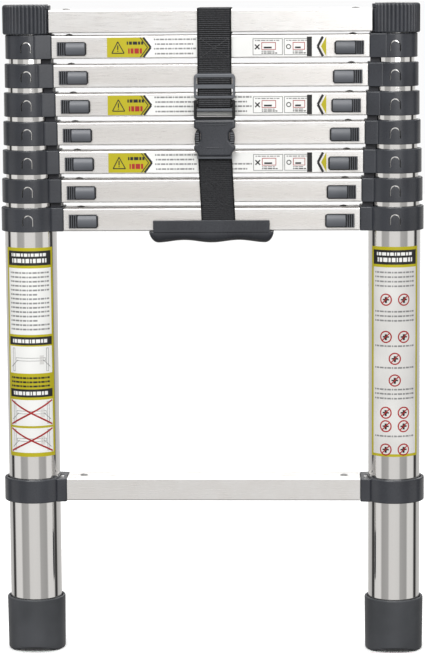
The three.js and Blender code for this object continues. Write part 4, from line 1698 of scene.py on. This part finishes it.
def yellow_panel(label, h):
    """A warning triangle and two lines of large marks, ending in a chevron."""
    label.bar(LABEL_U[0], YELLOW_END, -h, h, "yellow")
    tip_u = YELLOW_END + CHEVRON
    label.wedge([(YELLOW_END, -h), (YELLOW_END, h), (tip_u, 0.1), (tip_u, -0.1)], "yellow")
    tip, foot_left, foot_right = (-100.3, 6.2), (-106.8, -6.2), (-93.4, -6.2)
    for a, b in ((tip, foot_left), (tip, foot_right), (foot_left, foot_right)):
        label.stroke(*a, *b, 1.0, "black")
    label.bar(tip[0] - 0.6, tip[0] + 0.6, -2.6, 2.4, "black", 2)
    label.bar(tip[0] - 0.6, tip[0] + 0.6, -4.6, -3.5, "black", 2)
    label.words(-90.5, -72.5, 3.0, 3.4, "black", 0.9)
    label.words(-89.0, -73.5, -6.6, 5.6, "red", 1.0)
    for side in (-1, 1):
        label.stroke(YELLOW_END, side * h, tip_u, 0, 2.2, "black")
        label.stroke(YELLOW_END - 3.4, side * h, tip_u - 3.4, 0, 0.9, "black")


def make_rung_label(k):
    low, high = rung_span(k)
    middle = (low + high) / 2 - 0.4
    label = Label(lambda u, v, w: (u, -RUNG_DEPTH / 2 - w, middle + v))
    h = LABEL_HALF
    label.bar(YELLOW_END, LABEL_U[1] - CHEVRON, -h, h, "white", 0)
    yellow_panel(label, h)
    for i, v in enumerate(TEXT_LINES):
        stop = WEB_X - WEB_HALF - 3 * (i % 2)
        label.words(TEXT_AREA[0] + i % 2, stop, v, TEXT_HEIGHT, "grey", 0.8)
        if len(TEXT_LINES) - i <= LINES_BEYOND_STRAP[k]:
            label.words(WEB_X + WEB_HALF, TEXT_AREA[1] - 5 * (i % 2), v, TEXT_HEIGHT, "grey", 0.8)
    for i, (u0, u1) in enumerate(PICTOGRAMS):
        pictogram(label, u0, u1, h - 1.6, struck=i == 0)
    label.bar(PICTOGRAMS[1][1] - 5.4, PICTOGRAMS[1][1], -h, h, "black", 3)
    for side in (-1, 1):
        label.stroke(LABEL_U[1] - 3.6, side * h, LABEL_U[1] - 9.2, 0, 2.6, "black")
    notch = LABEL_U[1] - 5.6
    label.wedge([(notch, -0.1), (LABEL_U[1], -h), (LABEL_U[1], h), (notch, 0.1)], "yellow")
    label.make(f"rung_label_{k}", body_of_section(k - 1))


for k in (8, 6, 4):
    make_rung_label(k)

# %% Stile labels
LEG_TOP = 453.2
LEG_HEIGHT = 232.0
LEG_HALF = 29.5


def leg_wrap(side):
    x = -STILE_X * SIDES[side]
    radius = tube_radius(1)

    def wrap(u, v, w):
        turn = u / radius
        return (x + (radius + w) * math.sin(turn), -(radius + w) * math.cos(turn), LEG_TOP + v)

    return wrap


def leg_base(side):
    label = Label(leg_wrap(side), 2.5)
    label.bar(-LEG_HALF, LEG_HALF, -LEG_HEIGHT, 0, "yellow", 0)
    inner = LEG_HALF - 3.2
    label.bar(-inner, inner, -19.5, -3.6, "black")
    label.words(-inner + 5, inner - 5, -9.6, 3.4, "white", 1.0)
    label.words(-inner + 6, inner - 6, -16.6, 4.6, "white", 1.2)
    return label, inner


def make_left_label():
    label, inner = leg_base("left")
    label.bar(-inner, inner, -96, -22.5, "white")
    for i in range(14):
        stop = inner - 3 - 14 * (i % 6 == 5)
        label.words(-inner + 3, stop, -28.5 - i * 4.8, 1.8, "grey", 0.9)
    for top in (-98.5, -156.5):
        label.bar(-inner, inner, top - 9.0, top, "black")
        label.words(-inner + 5, inner - 5, top - 6.6, 4.0, "white", 1.0)
    for top, height, crossed in ((-109, 30, False), (-168.5, 29, True), (-200, 27.5, True)):
        label.bar(-inner, inner, top - height, top, "white")
        middle = top - height / 2
        for side in (-1, 1):
            u0, u1 = sorted((side * (inner - 5), side * (inner - 8)))
            label.border(u0, u1, top - height + 2, top - 2, 0.5, "grey")
            label.stroke(side * (inner - 3), middle - 8, side * (inner - 12), middle, 0.6, "grey")
        label.border(-inner + 9, inner - 9, middle - 1.2, middle + 2.4, 0.5, "grey")
        label.bar(inner - 16, inner - 11, middle - 5, middle + 5, "silver", 2)
        if crossed:
            label.stroke(-inner + 1, top - height + 1, inner - 1, top - 1, 1.8, "red")
            label.stroke(-inner + 1, top - 1, inner - 1, top - height + 1, 1.8, "red")
    for i in range(3):
        label.words(-inner + 2, inner - 2, -145 - i * 4.6, 2.0, "black", 0.9)
    label.make("stile_label_left", "base_section")


def forbidding_sign(label, u, v, radius):
    label.bar(u - 1.2, u + 1.2, v - 3.6, v + 3.0, "black", 2)
    label.bar(u - 3.6, u + 3.6, v - 0.8, v + 0.8, "black", 2)
    label.ring(u, v, radius, 1.4, "red")
    reach = radius * 0.66
    label.stroke(u - reach, v - reach, u + reach, v + reach, 1.2, "red")


def make_right_label():
    label, inner = leg_base("right")
    label.bar(-inner, inner, -LEG_HEIGHT + 3, -22.5, "silver")
    signs = ((-58, (-10, 10)), (-99, (-10, 10)), (-123, (0,)), (-147, (0,)), (-183, (-10, 10)),
             (-198, (-10, 10)), (-224, (-10, 10)))
    for v, places in signs:
        for u in places:
            forbidding_sign(label, u, v, 6.8)
    for v in (-29, -34, -39, -44, -72, -77, -82, -110, -134, -158, -163, -168, -210):
        label.words(-inner + 2.5, inner - 3, v, 1.8, "grey", 0.9)
    label.make("stile_label_right", "base_section")


make_left_label()
make_right_label()
print("all pieces made:", len(made))
